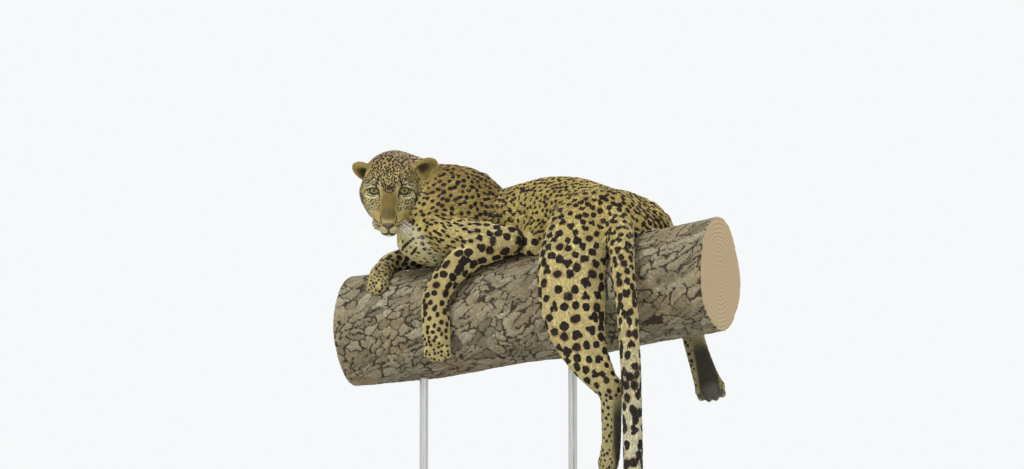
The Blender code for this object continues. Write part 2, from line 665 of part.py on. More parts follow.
def bough_mesh(name, rings, around, left, right):
    xs = np.linspace(left, right, rings)
    points, faces = [], []
    for x in xs:
        for k in range(around):
            turn = 2 * math.pi * k / around
            r = bough_radius(x, turn)
            points.append((x, r * math.cos(turn), bough_axis(x) + r * math.sin(turn)))
    for i in range(rings - 1):
        for k in range(around):
            a, b = i * around + k, i * around + (k + 1) % around
            faces.append((a, b, b + around, a + around))
    faces.append(tuple(range(around))[::-1])
    faces.append(tuple(range((rings - 1) * around, rings * around)))
    obj = mesh_object(name, points, faces)
    outward = bmesh.new()
    outward.from_mesh(obj.data)
    bmesh.ops.recalc_face_normals(outward, faces=outward.faces[:])
    bmesh.ops.triangulate(outward, faces=outward.faces[:])
    outward.to_mesh(obj.data)
    outward.free()
    return obj


def lathe(name, middle, profile, sides=24):
    """A turned solid about an upright axis: the profile is (radius, height) from the bottom up."""
    points = [(middle[0], middle[1], profile[0][1])]
    for r, z in profile:
        for k in range(sides):
            turn = 2 * math.pi * k / sides
            points.append((middle[0] + r * math.cos(turn), middle[1] + r * math.sin(turn), z))
    points.append((middle[0], middle[1], profile[-1][1]))
    faces = [(0, 1 + (k + 1) % sides, 1 + k) for k in range(sides)]
    for i in range(len(profile) - 1):
        for k in range(sides):
            a, b = 1 + i * sides + k, 1 + i * sides + (k + 1) % sides
            faces.append((a, b, b + sides, a + sides))
    top = 1 + (len(profile) - 1) * sides
    faces += [(top + k, top + (k + 1) % sides, len(points) - 1) for k in range(sides)]
    return mesh_object(name, points, faces)


def rounded_slab(name, length, width, corner, bottom, top, bevel, steps=5):
    rows = []
    for level, inset in ((bottom, bevel * 0.4), (bottom + bevel * 0.4, 0), (top - bevel, 0), (top - bevel * 0.3, bevel * 0.3), (top, bevel)):
        ring = []
        for cx, cy, start in ((1, 1, 0), (-1, 1, 90), (-1, -1, 180), (1, -1, 270)):
            for k in range(steps + 1):
                turn = math.radians(start + 90 * k / steps)
                x = cx * (length / 2 - corner) + (corner - inset) * math.cos(turn)
                y = cy * (width / 2 - corner) + (corner - inset) * math.sin(turn)
                ring.append((x, y, level))
        rows.append(ring)
    n = len(rows[0])
    points = [p for ring in rows for p in ring]
    faces = []
    for i in range(len(rows) - 1):
        faces += [(i * n + k, i * n + (k + 1) % n, (i + 1) * n + (k + 1) % n, (i + 1) * n + k) for k in range(n)]
    faces += [tuple(range(n))[::-1], tuple(range((len(rows) - 1) * n, len(rows) * n))]
    return mesh_object(name, points, faces)


def tail_nodes(room, bough):
    """The tail as lengths with a gap between each, the first one shaped to the rump."""
    rows = spread([(*s[:3], s[3], s[3], s[3]) for s in TAIL], 3)
    sides = 14
    points, faces = [], []
    for i, row in enumerate(rows):
        a, b = rows[max(i - 1, 0)][:3], rows[min(i + 1, len(rows) - 1)][:3]
        along = unit(b - a)
        across = unit(np.cross(along, (1.0, 0.1, 0.0)))
        rise = np.cross(across, along)
        for k in range(sides):
            turn = 2 * math.pi * k / sides
            points.append(row[:3] + row[3] * (math.cos(turn) * across + math.sin(turn) * rise))
    last = rows[-1]
    along = unit(last[:3] - rows[-2][:3])
    for size, out in ((0.86, 0.5), (0.5, 0.87)):
        base = len(points) - sides
        for k in range(sides):
            first = np.array(points[(len(rows) - 1) * sides + k]) - last[:3]
            points.append(last[:3] + first * size + along * last[3] * out)
    points.append(last[:3] + along * last[3])
    levels = len(rows) + 2
    for i in range(levels - 1):
        for k in range(sides):
            a, b = i * sides + k, i * sides + (k + 1) % sides
            faces.append((a, b, b + sides, a + sides))
    tip = len(points) - 1
    faces += [((levels - 1) * sides + k, (levels - 1) * sides + (k + 1) % sides, tip) for k in range(sides)]
    faces.append(tuple(range(sides))[::-1])
    tail = mesh_object("tail", points, faces)
    fixed = bmesh.new()
    fixed.from_mesh(tail.data)
    bmesh.ops.recalc_face_normals(fixed, faces=fixed.faces[:])
    fixed.to_mesh(tail.data)
    fixed.free()
    boolean(tail, room, "DIFFERENCE")
    boolean(tail, bough, "DIFFERENCE")
    names = {f"tail_{i + 1}": TAIL[k][:3] for i, k in enumerate((2, 4, 6, 8, 10))}
    cuts = []
    for k in (3, 5, 7, 9):
        here, there = np.array(TAIL[k][:3]), np.array(TAIL[k + 1][:3])
        cuts.append((here + 0.15 * (there - here), there - np.array(TAIL[k - 1][:3]), 0.055))
    return parted(tail, cuts, names)


def mended(obj):
    """Closes up the very short edges where a cut made the surface touch itself."""
    mesh = bmesh.new()
    mesh.from_mesh(obj.data)
    bmesh.ops.remove_doubles(mesh, verts=mesh.verts[:], dist=0.00001)
    for turn in range(4):
        touching = [e for e in mesh.edges if len(e.link_faces) != 2]
        if not touching:
            break
        bmesh.ops.collapse(mesh, edges=touching, uvs=False)
    bmesh.ops.dissolve_degenerate(mesh, edges=mesh.edges[:], dist=0.000005)
    mesh.normal_update()
    if mesh.calc_volume(signed=True) < 0:
        bmesh.ops.reverse_faces(mesh, faces=mesh.faces[:])
    mesh.to_mesh(obj.data)
    mesh.free()


def painted(obj, colour, roughness, metallic=0.0):
    material = bpy.data.materials.new(obj.name)
    material.use_nodes = True
    shader = material.node_tree.nodes["Principled BSDF"]
    shader.inputs["Base Color"].default_value = (*colour, 1)
    shader.inputs["Roughness"].default_value = roughness
    shader.inputs["Metallic"].default_value = metallic
    material.diffuse_color = (*colour, 1)
    obj.data.materials.clear()
    obj.data.materials.append(material)


def grown(obj, distance):
    """A copy of the object with its surface moved out along its normals."""
    new = copy_of(obj, "grown")
    normals = np.array([v.normal[:] for v in new.data.vertices])
    for v, n in zip(new.data.vertices, normals):
        v.co = v.co + Vector(n) * distance
    new.data.update()
    return new


def socket(head, name, middle, radius):
    """Hollows the head for an eyeball and returns the eyeball."""
    ball = round_ball(name, middle, radius, 18, 11)
    hollow = round_ball("hollow", middle, radius + GAP, 18, 11)
    boolean(head, hollow, "DIFFERENCE")
    remove(hollow)
    return ball


def round_ball(name, middle, radius, around, rings):
    mesh = bmesh.new()
    bmesh.ops.create_uvsphere(mesh, u_segments=around, v_segments=rings, radius=radius)
    for v in mesh.verts:
        turned = v.co.x * HEAD_X - v.co.z * HEAD_Y + v.co.y * HEAD_Z
        v.co = Vector(turned + middle)
    mesh.normal_update()
    if mesh.calc_volume(signed=True) < 0:
        bmesh.ops.reverse_faces(mesh, faces=mesh.faces[:])
    data = bpy.data.meshes.new(name)
    mesh.to_mesh(data)
    mesh.free()
    obj = bpy.data.objects.new(name, data)
    bpy.context.scene.collection.objects.link(obj)
    return obj


def in_head(mm):
    return EYE_MIDDLE + np.array(mm) * 0.001 @ HEAD_AXES


def only(obj):
    """The object with every body but its largest left out."""
    points, faces = max(islands(obj, 4), key=lambda found: len(found[0]))
    name = obj.name
    remove(obj)
    return mesh_object(name, points, faces)


def build():
    for obj in list(bpy.data.objects):
        bpy.data.objects.remove(obj)
    bough = bough_mesh("perch_branch", 27, 30, BOUGH_LEFT, BOUGH_RIGHT)
    cutter = grown(bough, GAP)

    # The head is made finer than the body, and both come from the same field.
    body = mesh_object("body", *net(earless, (-0.47, -0.24, 0.13), (0.48, 0.26, 1.03), BODY_CELL))
    thinned(body, BODY_TRIANGLES)
    head = mesh_object("head", *net(flesh, (-0.150, -0.114, -0.115), (0.150, 0.180, 0.104), HEAD_CELL, HEAD_AXES, EYE_MIDDLE))
    thinned(head, HEAD_TRIANGLES)
    plane = axes_from(NECK_WAY)
    keep = box("keep", NECK_POINT + NECK_WAY * (0.2 + GAP / 2), plane, (0.2, 0.3, 0.3))
    boolean(head, keep, "INTERSECT")
    remove(keep)
    lose = box("lose", NECK_POINT + NECK_WAY * (0.2 - GAP / 2), plane, (0.2, 0.3, 0.3))
    boolean(body, lose, "DIFFERENCE")
    remove(lose)
    boolean(body, cutter, "DIFFERENCE")
    head = only(head)
    nodes = [head, bough]
    nodes += ear_nodes(head)
    for side, name in ((-1, "eye_right"), (1, "eye_left")):
        middle = in_head((side * EYE_APART * 1000, EYE_BACK * 1000, EYE_RISE * 1000))
        nodes.append(socket(head, name, middle, EYE_RADIUS))

    tail_room = grown(body, GAP)
    nodes += tail_nodes(tail_room, cutter)
    remove(tail_room)

    # Limbs come off the trunk at flat seams, then part at their joints.
    hand = split_off(body, "forepaw_right", (-0.430, -0.120, 0.68), axes_from((0.0, -1.0, -0.30)), (0.10, 0.085, 0.085))
    for limb in LIMBS.values():
        axes = axes_from(limb["way"])
        low, high = np.array(limb["low"]), np.array(limb["high"])
        middle = np.array(limb["at"]) + (low + high) / 2 @ axes
        piece = split_off(body, "limb", middle, axes, (high - low) / 2)
        nodes += parted(piece, limb["cuts"], limb["names"])
    nodes.append(only(hand))
    nodes += parted(body, TRUNK_CUTS, TRUNK_NAMES)
    remove(cutter)

    nodes += stand_nodes(bough)
    for obj in nodes:
        mended(obj)
        for face in obj.data.polygons:
            face.use_smooth = not obj.name.startswith("stand_base")
        painted(obj, *next(look for key, look in LOOKS if obj.name.startswith(key)))
    return nodes


def ear_nodes(head):
    found = []
    for name, ear in EARS.items():
        axes = ear_axes(ear) @ HEAD_AXES
        middle = in_head(ear[0]) + np.array((0.036, 0.0, 0.004)) @ axes
        found.append(only(split_off(head, name, middle, axes, (0.036, 0.034, 0.026))))
    return found


def stand_nodes(bough):
    made = []
    for i, x in enumerate(ROD_AT):
        under = bough_axis(x) - float(bough_radius(np.array(x), -math.pi / 2))
        top = under + ROD_IN_BOUGH
        bore = lathe("bore", (x, 0.0), ((ROD_RADIUS + GAP, under - 0.05), (ROD_RADIUS + GAP, top + GAP)))
        boolean(bough, bore, "DIFFERENCE")
        remove(bore)
        foot = BASE_THICK + GAP
        r, c = ROD_RADIUS, COLLAR_RADIUS
        profile = (
            (c, foot), (c, foot + COLLAR_THICK - 0.002), (c - 0.002, foot + COLLAR_THICK),
            (r + 0.003, foot + COLLAR_THICK + 0.001), (r, foot + COLLAR_THICK + 0.004), (r, top),
        )
        made.append(lathe(f"stand_rod_{i + 1}", (x, 0.0), profile))
    made.append(rounded_slab("stand_base", BASE_LENGTH, BASE_WIDTH, BASE_CORNER, 0.0, BASE_THICK, 0.004))
    return made


nodes = build()
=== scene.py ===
"""Looks of a leopard resting astride a cut length of bough, life size, on a display stand.

Metres, +Z up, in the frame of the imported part: the bough runs along X, the head is at the -X end and the
origin is the middle of the underside of the base. The skin is netted from the same named forms as the
solids, drawn in by the depth of the coat. Its markings are worked out once, as distances on the surface,
and the coat takes them from the skin under each tuft.
"""

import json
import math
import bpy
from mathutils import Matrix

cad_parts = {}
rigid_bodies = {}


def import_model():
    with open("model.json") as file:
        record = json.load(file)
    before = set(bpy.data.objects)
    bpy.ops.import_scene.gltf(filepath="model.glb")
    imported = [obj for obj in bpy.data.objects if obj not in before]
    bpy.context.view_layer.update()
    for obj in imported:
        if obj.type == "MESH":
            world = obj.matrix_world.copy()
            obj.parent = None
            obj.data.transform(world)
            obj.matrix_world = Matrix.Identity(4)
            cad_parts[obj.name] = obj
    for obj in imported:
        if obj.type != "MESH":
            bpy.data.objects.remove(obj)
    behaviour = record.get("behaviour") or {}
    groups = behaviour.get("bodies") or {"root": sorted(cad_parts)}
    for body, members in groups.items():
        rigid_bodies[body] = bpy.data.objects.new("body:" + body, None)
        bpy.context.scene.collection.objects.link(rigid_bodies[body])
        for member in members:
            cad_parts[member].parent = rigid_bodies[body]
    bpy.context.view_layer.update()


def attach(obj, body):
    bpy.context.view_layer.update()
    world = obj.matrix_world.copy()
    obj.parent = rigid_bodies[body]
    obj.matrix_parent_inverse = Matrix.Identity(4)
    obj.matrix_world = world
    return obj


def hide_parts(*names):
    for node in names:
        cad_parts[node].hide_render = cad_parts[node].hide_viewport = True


bl_info = {
    "name": "Leopard on a bough",
    "version": (1, 0, 0),
    "blender": (4, 5, 0),
    "location": "View3D > Sidebar > Leopard",
    "description": "Skin, coat, eyes, whiskers, bough, stand and stage of a life-size model of a leopard",
    "category": "Object",
}

from itertools import product

import bmesh
import bpy
import numpy as np
from bpy.props import FloatProperty, FloatVectorProperty, IntProperty, PointerProperty
from mathutils import Vector, kdtree
from mathutils.bvhtree import BVHTree

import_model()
FLESH = (
    "head", "neck", "chest", "midriff", "hips", "upper_arm_left", "upper_arm_right", "forearm_left",
    "forearm_right", "forepaw_left", "forepaw_right", "thigh_left", "thigh_right", "shank_left",
    "shank_right", "hind_foot_left", "hind_foot_right", "ear_left", "ear_right",
    "tail_1", "tail_2", "tail_3", "tail_4", "tail_5",
)

# The bough: its axis rises gently towards +X.
BOUGH_RADIUS = 0.138
BOUGH_LEFT = -0.490
BOUGH_RIGHT = 0.500
BOUGH_HEIGHT = 0.593
BOUGH_RISE = 0.115
BOUGH_BEND = 0.05

# The head: the point between the eyes, the way the face is turned and its downward pitch.
EYE_MIDDLE = np.array((-0.3124, -0.170, 0.884))
FACE_TURN = math.radians(25)
FACE_PITCH = math.radians(32)
EYE_APART = 0.0355
EYE_BACK = 0.009
EYE_RISE = 0.0005
EYE_PLACE = np.array((EYE_APART, EYE_BACK, EYE_RISE))
EYE_RADIUS = 0.0140
LID_THICK = 0.0026
LID_OPEN = 0.0125
LID_UP = 0.0048
LID_DOWN = 0.0064

HEAD_X = np.array((math.cos(FACE_TURN), math.sin(FACE_TURN), 0.0))
HEAD_Y = np.array((
    -math.sin(FACE_TURN) * math.cos(FACE_PITCH), math.cos(FACE_TURN) * math.cos(FACE_PITCH),
    math.sin(FACE_PITCH),
))
HEAD_Z = np.cross(HEAD_X, HEAD_Y)
HEAD_AXES = np.array((HEAD_X, HEAD_Y, HEAD_Z))


def mm(*rows):
    """Rows of millimetres, as metres."""
    return np.array(rows) / 1000


# Stations of each long form: x, y, z of its middle, then its half width, half height up and half height down.
TORSO = mm(
    (-290, -98, 760, 34, 36, 40), (-262, -68, 785, 72, 78, 84), (-235, -35, 803, 90, 118, 108),
    (-205, -5, 815, 98, 140, 120), (-170, 20, 815, 100, 118, 120), (-130, 40, 812, 98, 94, 112),
    (-80, 53, 812, 94, 95, 104), (-20, 58, 816, 94, 104, 102), (32, 54, 820, 97, 108, 100),
    (90, 42, 822, 101, 101, 100), (140, 26, 818, 103, 90, 100), (190, 10, 808, 100, 82, 100),
    (240, 2, 793, 88, 72, 90), (285, 8, 775, 60, 52, 66),
)
NECK = mm(
    (-205, -4, 835, 88, 122, 100), (-245, -18, 862, 80, 104, 95), (-285, -30, 890, 74, 85, 85),
    (-322, -48, 915, 70, 74, 78), (-345, -78, 935, 66, 64, 70), (-338, -112, 930, 60, 55, 66),
)
UPPER_ARM_LEFT = mm(
    (-205, -72, 815, 52, 60, 60), (-198, -98, 782, 50, 52, 56), (-140, -94, 772, 46, 50, 52),
    (-80, -82, 768, 40, 46, 46), (-30, -72, 760, 35, 40, 40),
)
FOREARM_LEFT = mm(
    (-30, -72, 758, 38, 40, 40), (-78, -82, 744, 42, 42, 42), (-123, -96, 724, 40, 41, 42),
    (-166, -136, 670, 36, 36, 36), (-190, -156, 615, 34, 31, 31), (-186, -163, 560, 36, 27, 27),
    (-182, -166, 515, 35, 24, 24),
)
UPPER_ARM_RIGHT = mm(
    (-285, 30, 840, 50, 56, 56), (-285, 52, 795, 50, 54, 54), (-245, 92, 765, 46, 50, 50),
    (-205, 118, 742, 40, 40, 42),
)
FOREARM_RIGHT = mm(
    (-205, 118, 740, 38, 40, 40), (-270, 100, 735, 38, 38, 38), (-347, 54, 735, 33, 35, 35),
    (-393, 6, 722, 28, 30, 30), (-394, -34, 701, 28, 27, 27), (-385, -78, 680, 30, 26, 26),
    (-378, -105, 656, 29, 23, 23),
)
THIGH_LEFT = mm(
    (180, -55, 800, 85, 60, 60), (178, -105, 755, 90, 58, 58), (180, -155, 678, 87, 52, 52),
    (187, -176, 599, 81, 47, 47), (202, -182, 526, 69, 41, 41), (226, -180, 466, 54, 34, 34),
    (258, -172, 413, 39, 27, 27), (280, -165, 382, 28, 25, 25),
)
FOOT_LEFT_HIND = mm(
    (284, -165, 392, 29, 24, 24), (283, -165, 335, 26, 23, 23), (283, -165, 263, 24, 24, 24),
    (277, -166, 211, 26, 32, 32),
)
THIGH_RIGHT = mm(
    (235, 30, 790, 85, 60, 60), (255, 85, 775, 88, 58, 58), (250, 150, 715, 84, 50, 50),
    (225, 180, 660, 70, 46, 46),
)
SHANK_RIGHT = mm(
    (205, 182, 640, 56, 48, 48), (265, 186, 608, 47, 40, 40), (318, 184, 570, 35, 30, 30),
    (350, 178, 545, 29, 27, 27),
)
FOOT_RIGHT_HIND = mm(
    (353, 176, 548, 29, 26, 26), (376, 160, 489, 29, 23, 23), (400, 147, 432, 32, 22, 22),
    (418, 137, 395, 37, 21, 21),
)
TAIL = mm(
    (232, -10, 832, 40), (269, -75, 785, 35.5), (300, -142, 726, 33.5), (322, -182, 662, 30),
    (334, -192, 595, 27.3), (340, -194, 521, 26.1), (345, -194, 445, 25.8), (347, -193, 369, 25),
    (349, -192, 277, 24.8), (349, -190, 195, 24.6), (346, -184, 122, 23), (336, -170, 74, 19),
)[:, (0, 1, 2, 3, 3, 3)]
# Each paw: where its toes start, the way they point, the way across, the way the pads face, and in metres the
# step from toe to toe, a toe's length and its radius.
PAWS = {
    "fore_left": (
        (-0.182, -0.164, 0.512), (0.03, 0.02, -1.0), (0.906, 0.423, 0.0), (-0.4, 0.9, 0.0),
        0.0152, 0.056, 0.0128,
    ),
    "fore_right": (
        (-0.377, -0.106, 0.655), (0.14, -0.42, -0.90), (0.93, 0.30, 0.0), (0.1, 0.85, -0.5),
        0.0130, 0.022, 0.0115,
    ),
    "hind_left": (
        (0.276, -0.166, 0.208), (-0.16, -0.02, -1.0), (-0.423, 0.906, 0.0), (0.9, 0.42, -0.1),
        0.0155, 0.046, 0.0125,
    ),
    "hind_right": (
        (0.420, 0.136, 0.394), (0.25, -0.18, -0.95), (0.906, 0.35, 0.16), (0.3, -0.93, 0.2),
        0.0165, 0.036, 0.0125,
    ),
}
# The four toes, counted out from the middle of the paw, and the reach of the outer two as a share.
TOES = (-1.5, -0.5, 0.5, 1.5)
OUTER_TOE = 0.84
# Rounded forms of the flesh: middle, three half sizes, and how widely each melts into its neighbours.
SHOULDER_BLADE = ((-0.190, -0.060, 0.865), (0.060, 0.030, 0.080), 0.030)
HIP_BONE = ((0.215, -0.045, 0.835), (0.060, 0.040, 0.040), 0.030)
BUTTOCK_RIGHT = ((0.300, 0.052, 0.790), (0.046, 0.050, 0.042), 0.025)
BELLY_LEFT = ((0.060, -0.030, 0.750), (0.090, 0.045, 0.050), 0.035)
BELLY_RIGHT = ((0.060, 0.120, 0.755), (0.120, 0.045, 0.055), 0.035)

# Forms of the head in its own axes, x to the animal's left, y back from the face and z up, in millimetres.
SKULL_FORMS = (
    ((0, 62, 12), (66, 72, 55), 12),
    ((0, 28, -14), (61, 44, 46), 18),
    ((0, 10, 20), (42, 28, 28), 20),
)
PAIRED_FORMS = (
    ((44, 34, -22), (33, 44, 38), 16),
    ((33, 10, 16), (23, 14, 9), 14),
    ((33, 2, -42), (27, 36, 27), 20),
    ((22, -24, -43), (23, 44, 22), 20),
)
LIP_PADS = ((19, -63, -58), (22.5, 23, 18), 12)
ORBIT = ((45, -24, 1), (19, 19, 12), 12)
BRIDGE = (
    (0, 6, 8, 23, 16, 24), (0, -36, -16, 19, 14, 24), (0, -70, -36, 17.5, 12, 20), (0, -83, -44, 14.5, 9, 14),
)
JAW = (
    (0, 40, -52, 46, 30, 30), (0, 0, -62, 38, 26, 24), (0, -38, -72, 27, 20, 19), (0, -62, -79, 21, 15, 14.5),
)
THROAT = ((0, 30, -45, 50, 30, 34), (8, 75, -42, 56, 36, 40))
NOSE = (((0, -87, -47), (14.5, 9.5, 8.5), 4), ((0, -89, -53), (8, 8, 8), 4))
LIP_LINE = ((0, -90, -71), (12, -88, -77.5), (26, -77, -81), (38, -54, -77), (45, -26, -68), (46, -4, -60))
PHILTRUM = ((0, -98, -56), (0, -94, -63), (0, -91, -72))
NOSTRIL = ((3.5, -99, -52.5), (7.5, -98, -48.5), (12.5, -94, -47.5))
# Each ear: middle, the way from base to tip, the way the cup faces, and half sizes.
EARS = {
    "ear_right": ((-64, 70, 20), (-0.80, 0.10, 0.55), (-0.30, -0.93, -0.15), (35, 25, 12)),
    "ear_left": ((84, 70, 28), (0.82, 0.10, 0.52), (0.22, -0.95, -0.05), (39, 27, 12)),
}
UP = np.array((0.0, 0.0, 1.0))
# Limbs take their half width across this direction and their other half sizes along it.
DEEP = np.array((-0.4226, 0.9063, 0.0))
# What the fields say where no form is near, the room round a form in which it can melt into others, and the
# box of the head in its own axes.
FAR = 0.05
MELT_ROOM = 0.012
HEAD_LOW = np.array((-0.125, -0.110, -0.110))
HEAD_HIGH = np.array((0.140, 0.140, 0.085))


def unit(v):
    v = np.asarray(v, float)
    return v / np.linalg.norm(v)


def bough_axis(x):
    return BOUGH_HEIGHT + BOUGH_RISE * x + BOUGH_BEND * x * x


def bough_radius(x, turn):
    lumps = 0.0035 * np.sin(2 * turn + 6 * x + 0.4) + 0.0030 * np.sin(3 * turn - 11 * x + 1.9)
    return BOUGH_RADIUS + lumps + 0.0022 * np.sin(5 * turn + 17 * x)


def smooth_min(a, b, k):
    h = np.maximum(k - np.abs(a - b), 0.0) / k
    return np.minimum(a, b) - h * h * k * 0.25


def smooth_max(a, b, k):
    return -smooth_min(-a, -b, k)


def near(points, low, high, margin):
    return np.nonzero(np.all((points > low - margin) & (points < high + margin), axis=1))[0]


def ellipsoid(q, sizes):
    k0 = np.linalg.norm(q / sizes, axis=1)
    k1 = np.linalg.norm(q / (sizes * sizes), axis=1)
    return k0 * (k0 - 1.0) / np.maximum(k1, 1e-9)


def spread(stations, count):
    """The stations with more between them, along a smooth curve through them all."""
    s = np.array(stations, float)
    ends = np.vstack((2 * s[0] - s[1], s, 2 * s[-1] - s[-2]))
    rows = []
    for a, b, c, d in zip(ends, ends[1:], ends[2:], ends[3:]):
        for t in np.arange(count) / count:
            rows.append(0.5 * (
                2 * b + (c - a) * t + (2 * a - 5 * b + 4 * c - d) * t * t + (3 * b - a - 3 * c + d) * t ** 3
            ))
    rows.append(s[-1])
    return np.array(rows)


def tube(p, stations, up=UP, count=3):
    """Distance to a bent form with an egg-shaped section that follows its stations."""
    rows = spread(stations, count)
    best = np.full(len(p), 1.0)
    for a, b in zip(rows[:-1], rows[1:]):
        along = b[:3] - a[:3]
        length = np.linalg.norm(along)
        along = along / length
        across = unit(np.cross(along, up))
        rise = np.cross(across, along)
        t = np.clip((p - a[:3]) @ along / length, 0.0, 1.0)
        q = p - a[:3] - t[:, None] * (along * length)
        sizes = a[3:] + t[:, None] * (b[3:] - a[3:])
        u, v, w = q @ across, q @ rise, q @ along
        side = sizes[:, 0]
        tall = np.where(v > 0, sizes[:, 1], sizes[:, 2])
        end = np.minimum(side, tall)
        k0 = np.sqrt((u / side) ** 2 + (v / tall) ** 2 + (w / end) ** 2)
        k1 = np.sqrt((u / side ** 2) ** 2 + (v / tall ** 2) ** 2 + (w / end ** 2) ** 2)
        best = np.minimum(best, np.where(k0 < 1e-6, -end, k0 * (k0 - 1.0) / np.maximum(k1, 1e-9)))
    return best


def add_tube(field, p, stations, melt, up=UP):
    s = np.array(stations, float)
    reach = s[:, 3:].max()
    at = near(p, s[:, :3].min(0) - reach, s[:, :3].max(0) + reach, melt + MELT_ROOM)
    if len(at):
        field[at] = smooth_min(field[at], tube(p[at], stations, up), melt)


def add_ball(field, p, middle, sizes, melt, axes=None):
    c, r = np.array(middle, float), np.array(sizes, float)
    at = near(p, c - r.max(), c + r.max(), melt + MELT_ROOM)
    if len(at):
        q = p[at] - c
        field[at] = smooth_min(field[at], ellipsoid(q if axes is None else q @ axes.T, r), melt)


def line_distance(p, path):
    """Distance from points to a bent line."""
    best = np.full(len(p), np.inf)
    for a, b in zip(path[:-1], path[1:]):
        a, b = np.array(a, float), np.array(b, float)
        t = np.clip((p - a) @ (b - a) / ((b - a) @ (b - a)), 0, 1)
        best = np.minimum(best, np.linalg.norm(p - a - t[:, None] * (b - a), axis=1))
    return best


def mirrored(q):
    """Points of the head's own axes, all on the animal's left."""
    return np.column_stack((np.abs(q[:, 0]), q[:, 1], q[:, 2]))


def paw_parts(paw):
    """A row of PAWS, its start as an array and its three ways of length one."""
    return np.array(paw[0]), *(unit(way) for way in paw[1:4]), *paw[4:]


def toe_tip(start, way, across, place, step, length, r):
    """The middle of a toe's tip. The two outer toes reach less far."""
    reach = length * (1.0 if abs(place) < 1 else OUTER_TOE)
    return start + across * place * step * 1.02 + way * (reach - r)


def add_paw(field, p, paw):
    """Adds a paw: its middle, four toes with their pads, and the large pad."""
    start, way, across, face, step, length, r = paw_parts(paw)
    axes = np.array((across, way, face))
    add_ball(field, p, start + way * 0.004, (step * 2.1, 0.026, r * 1.7), 0.012, axes)
    for place in TOES:
        root = start + across * place * step * 0.85 + way * 0.004
        tip = toe_tip(start, way, across, place, step, length, r)
        knuckle = 0.5 * (root + tip) - face * 0.003
        row = (
            (*root, r, r, r), (*knuckle, r * 1.04, r * 1.1, r * 1.1), (*tip, r * 0.92, r * 0.95, r * 0.95),
        )
        add_tube(field, p, row, 0.0045, up=face)
        add_ball(field, p, tip + face * r * 0.55, (0.0075, 0.0095, 0.0072), 0.003, axes)
    add_ball(field, p, start + face * r * 1.25 + way * 0.002, (0.0185, 0.0135, 0.0075), 0.004, axes)


def head_field(q):
    """Distance to the head's flesh, at points in its own axes and in metres."""
    mm = 0.001
    f = np.full(len(q), FAR)
    both = mirrored(q)

    def distance(c, r, points):
        return ellipsoid(points - np.array(c) * mm, np.array(r) * mm)

    for c, r, k in SKULL_FORMS:
        f = smooth_min(f, distance(c, r, q), k * mm)
    for c, r, k in PAIRED_FORMS:
        f = smooth_min(f, distance(c, r, both), k * mm)
    for rows, k in ((BRIDGE, 14), (JAW, 10), (THROAT, 20)):
        f = smooth_min(f, tube(q, np.array(rows) * mm), k * mm)
    c, r, k = LIP_PADS
    f = smooth_min(f, distance(c, r, both), k * mm)
    for c, r, k in NOSE:
        f = smooth_min(f, distance(c, r, q), k * mm)
    c, r, k = ORBIT
    f = smooth_max(f, -distance(c, r, both), k * mm)
    d = both - EYE_PLACE
    f = smooth_min(f, np.linalg.norm(d, axis=1) - (EYE_RADIUS + LID_THICK), 0.007)
    out = unit((0.26, -0.96, 0.10))
    wide = unit((-0.96, -0.26, -0.22))
    tall = unit(np.cross(out, wide))
    s, t, n = d @ wide, d @ tall, d @ out
    bow = 1 - np.abs(s / LID_OPEN) ** 2.2
    slit = np.maximum(t - LID_UP * bow, -LID_DOWN * bow - t) * 0.75
    f = smooth_max(f, -np.maximum(slit, 0.004 - n), 0.0014)
    for points, path, half, melt in (
        (both, LIP_LINE, 0.0016, 0.003), (q, PHILTRUM, 0.0013, 0.003), (both, NOSTRIL, 0.0024, 0.0016),
    ):
        f = smooth_max(f, half - line_distance(points, np.array(path) * mm), melt)
    return f


def ear_axes(ear):
    way, face = unit(ear[1]), unit(ear[2])
    face = unit(face - way * (face @ way))
    return np.array((way, np.cross(face, way), face))


def add_ears(f, q):
    """Adds the ears, each a flattened ball with its cup cut out."""
    for ear in EARS.values():
        c, r = np.array(ear[0]) * 0.001, np.array(ear[3]) * 0.001
        d = (q - c) @ ear_axes(ear).T
        outer = smooth_max(ellipsoid(d, r), d[:, 2] - 0.0075, 0.005)
        inner = ellipsoid(d - np.array((-0.004, 0, 0.0090)), np.array((r[0] - 0.0100, r[1] - 0.0082, 0.0130)))
        f = smooth_max(smooth_min(f, outer, 0.010), -inner, 0.0030)
    return f


def flesh(p):
    """Distance to the whole animal apart from its tail, at points in the frame of the part."""
    f = np.full(len(p), FAR)
    add_tube(f, p, TORSO, 0.020)
    add_tube(f, p, NECK, 0.030)
    for ball in (SHOULDER_BLADE, HIP_BONE, BELLY_LEFT, BELLY_RIGHT):
        add_ball(f, p, *ball)
    for stations, melt in ((THIGH_LEFT, 0.030), (FOOT_LEFT_HIND, 0.012), (THIGH_RIGHT, 0.030)):
        add_tube(f, p, stations, melt, DEEP)
    add_ball(f, p, *BUTTOCK_RIGHT)
    for stations, melt in (
        (SHANK_RIGHT, 0.015), (FOOT_RIGHT_HIND, 0.012), (UPPER_ARM_LEFT, 0.022), (FOREARM_LEFT, 0.010),
        (UPPER_ARM_RIGHT, 0.022), (FOREARM_RIGHT, 0.012),
    ):
        add_tube(f, p, stations, melt, DEEP)
    for paw in PAWS.values():
        add_paw(f, p, paw)
    q = (p - EYE_MIDDLE) @ HEAD_AXES.T
    at = near(q, HEAD_LOW, HEAD_HIGH, 0.0)
    if len(at):
        f[at] = add_ears(smooth_min(head_field(q[at]), f[at], 0.014), q[at])
    return f


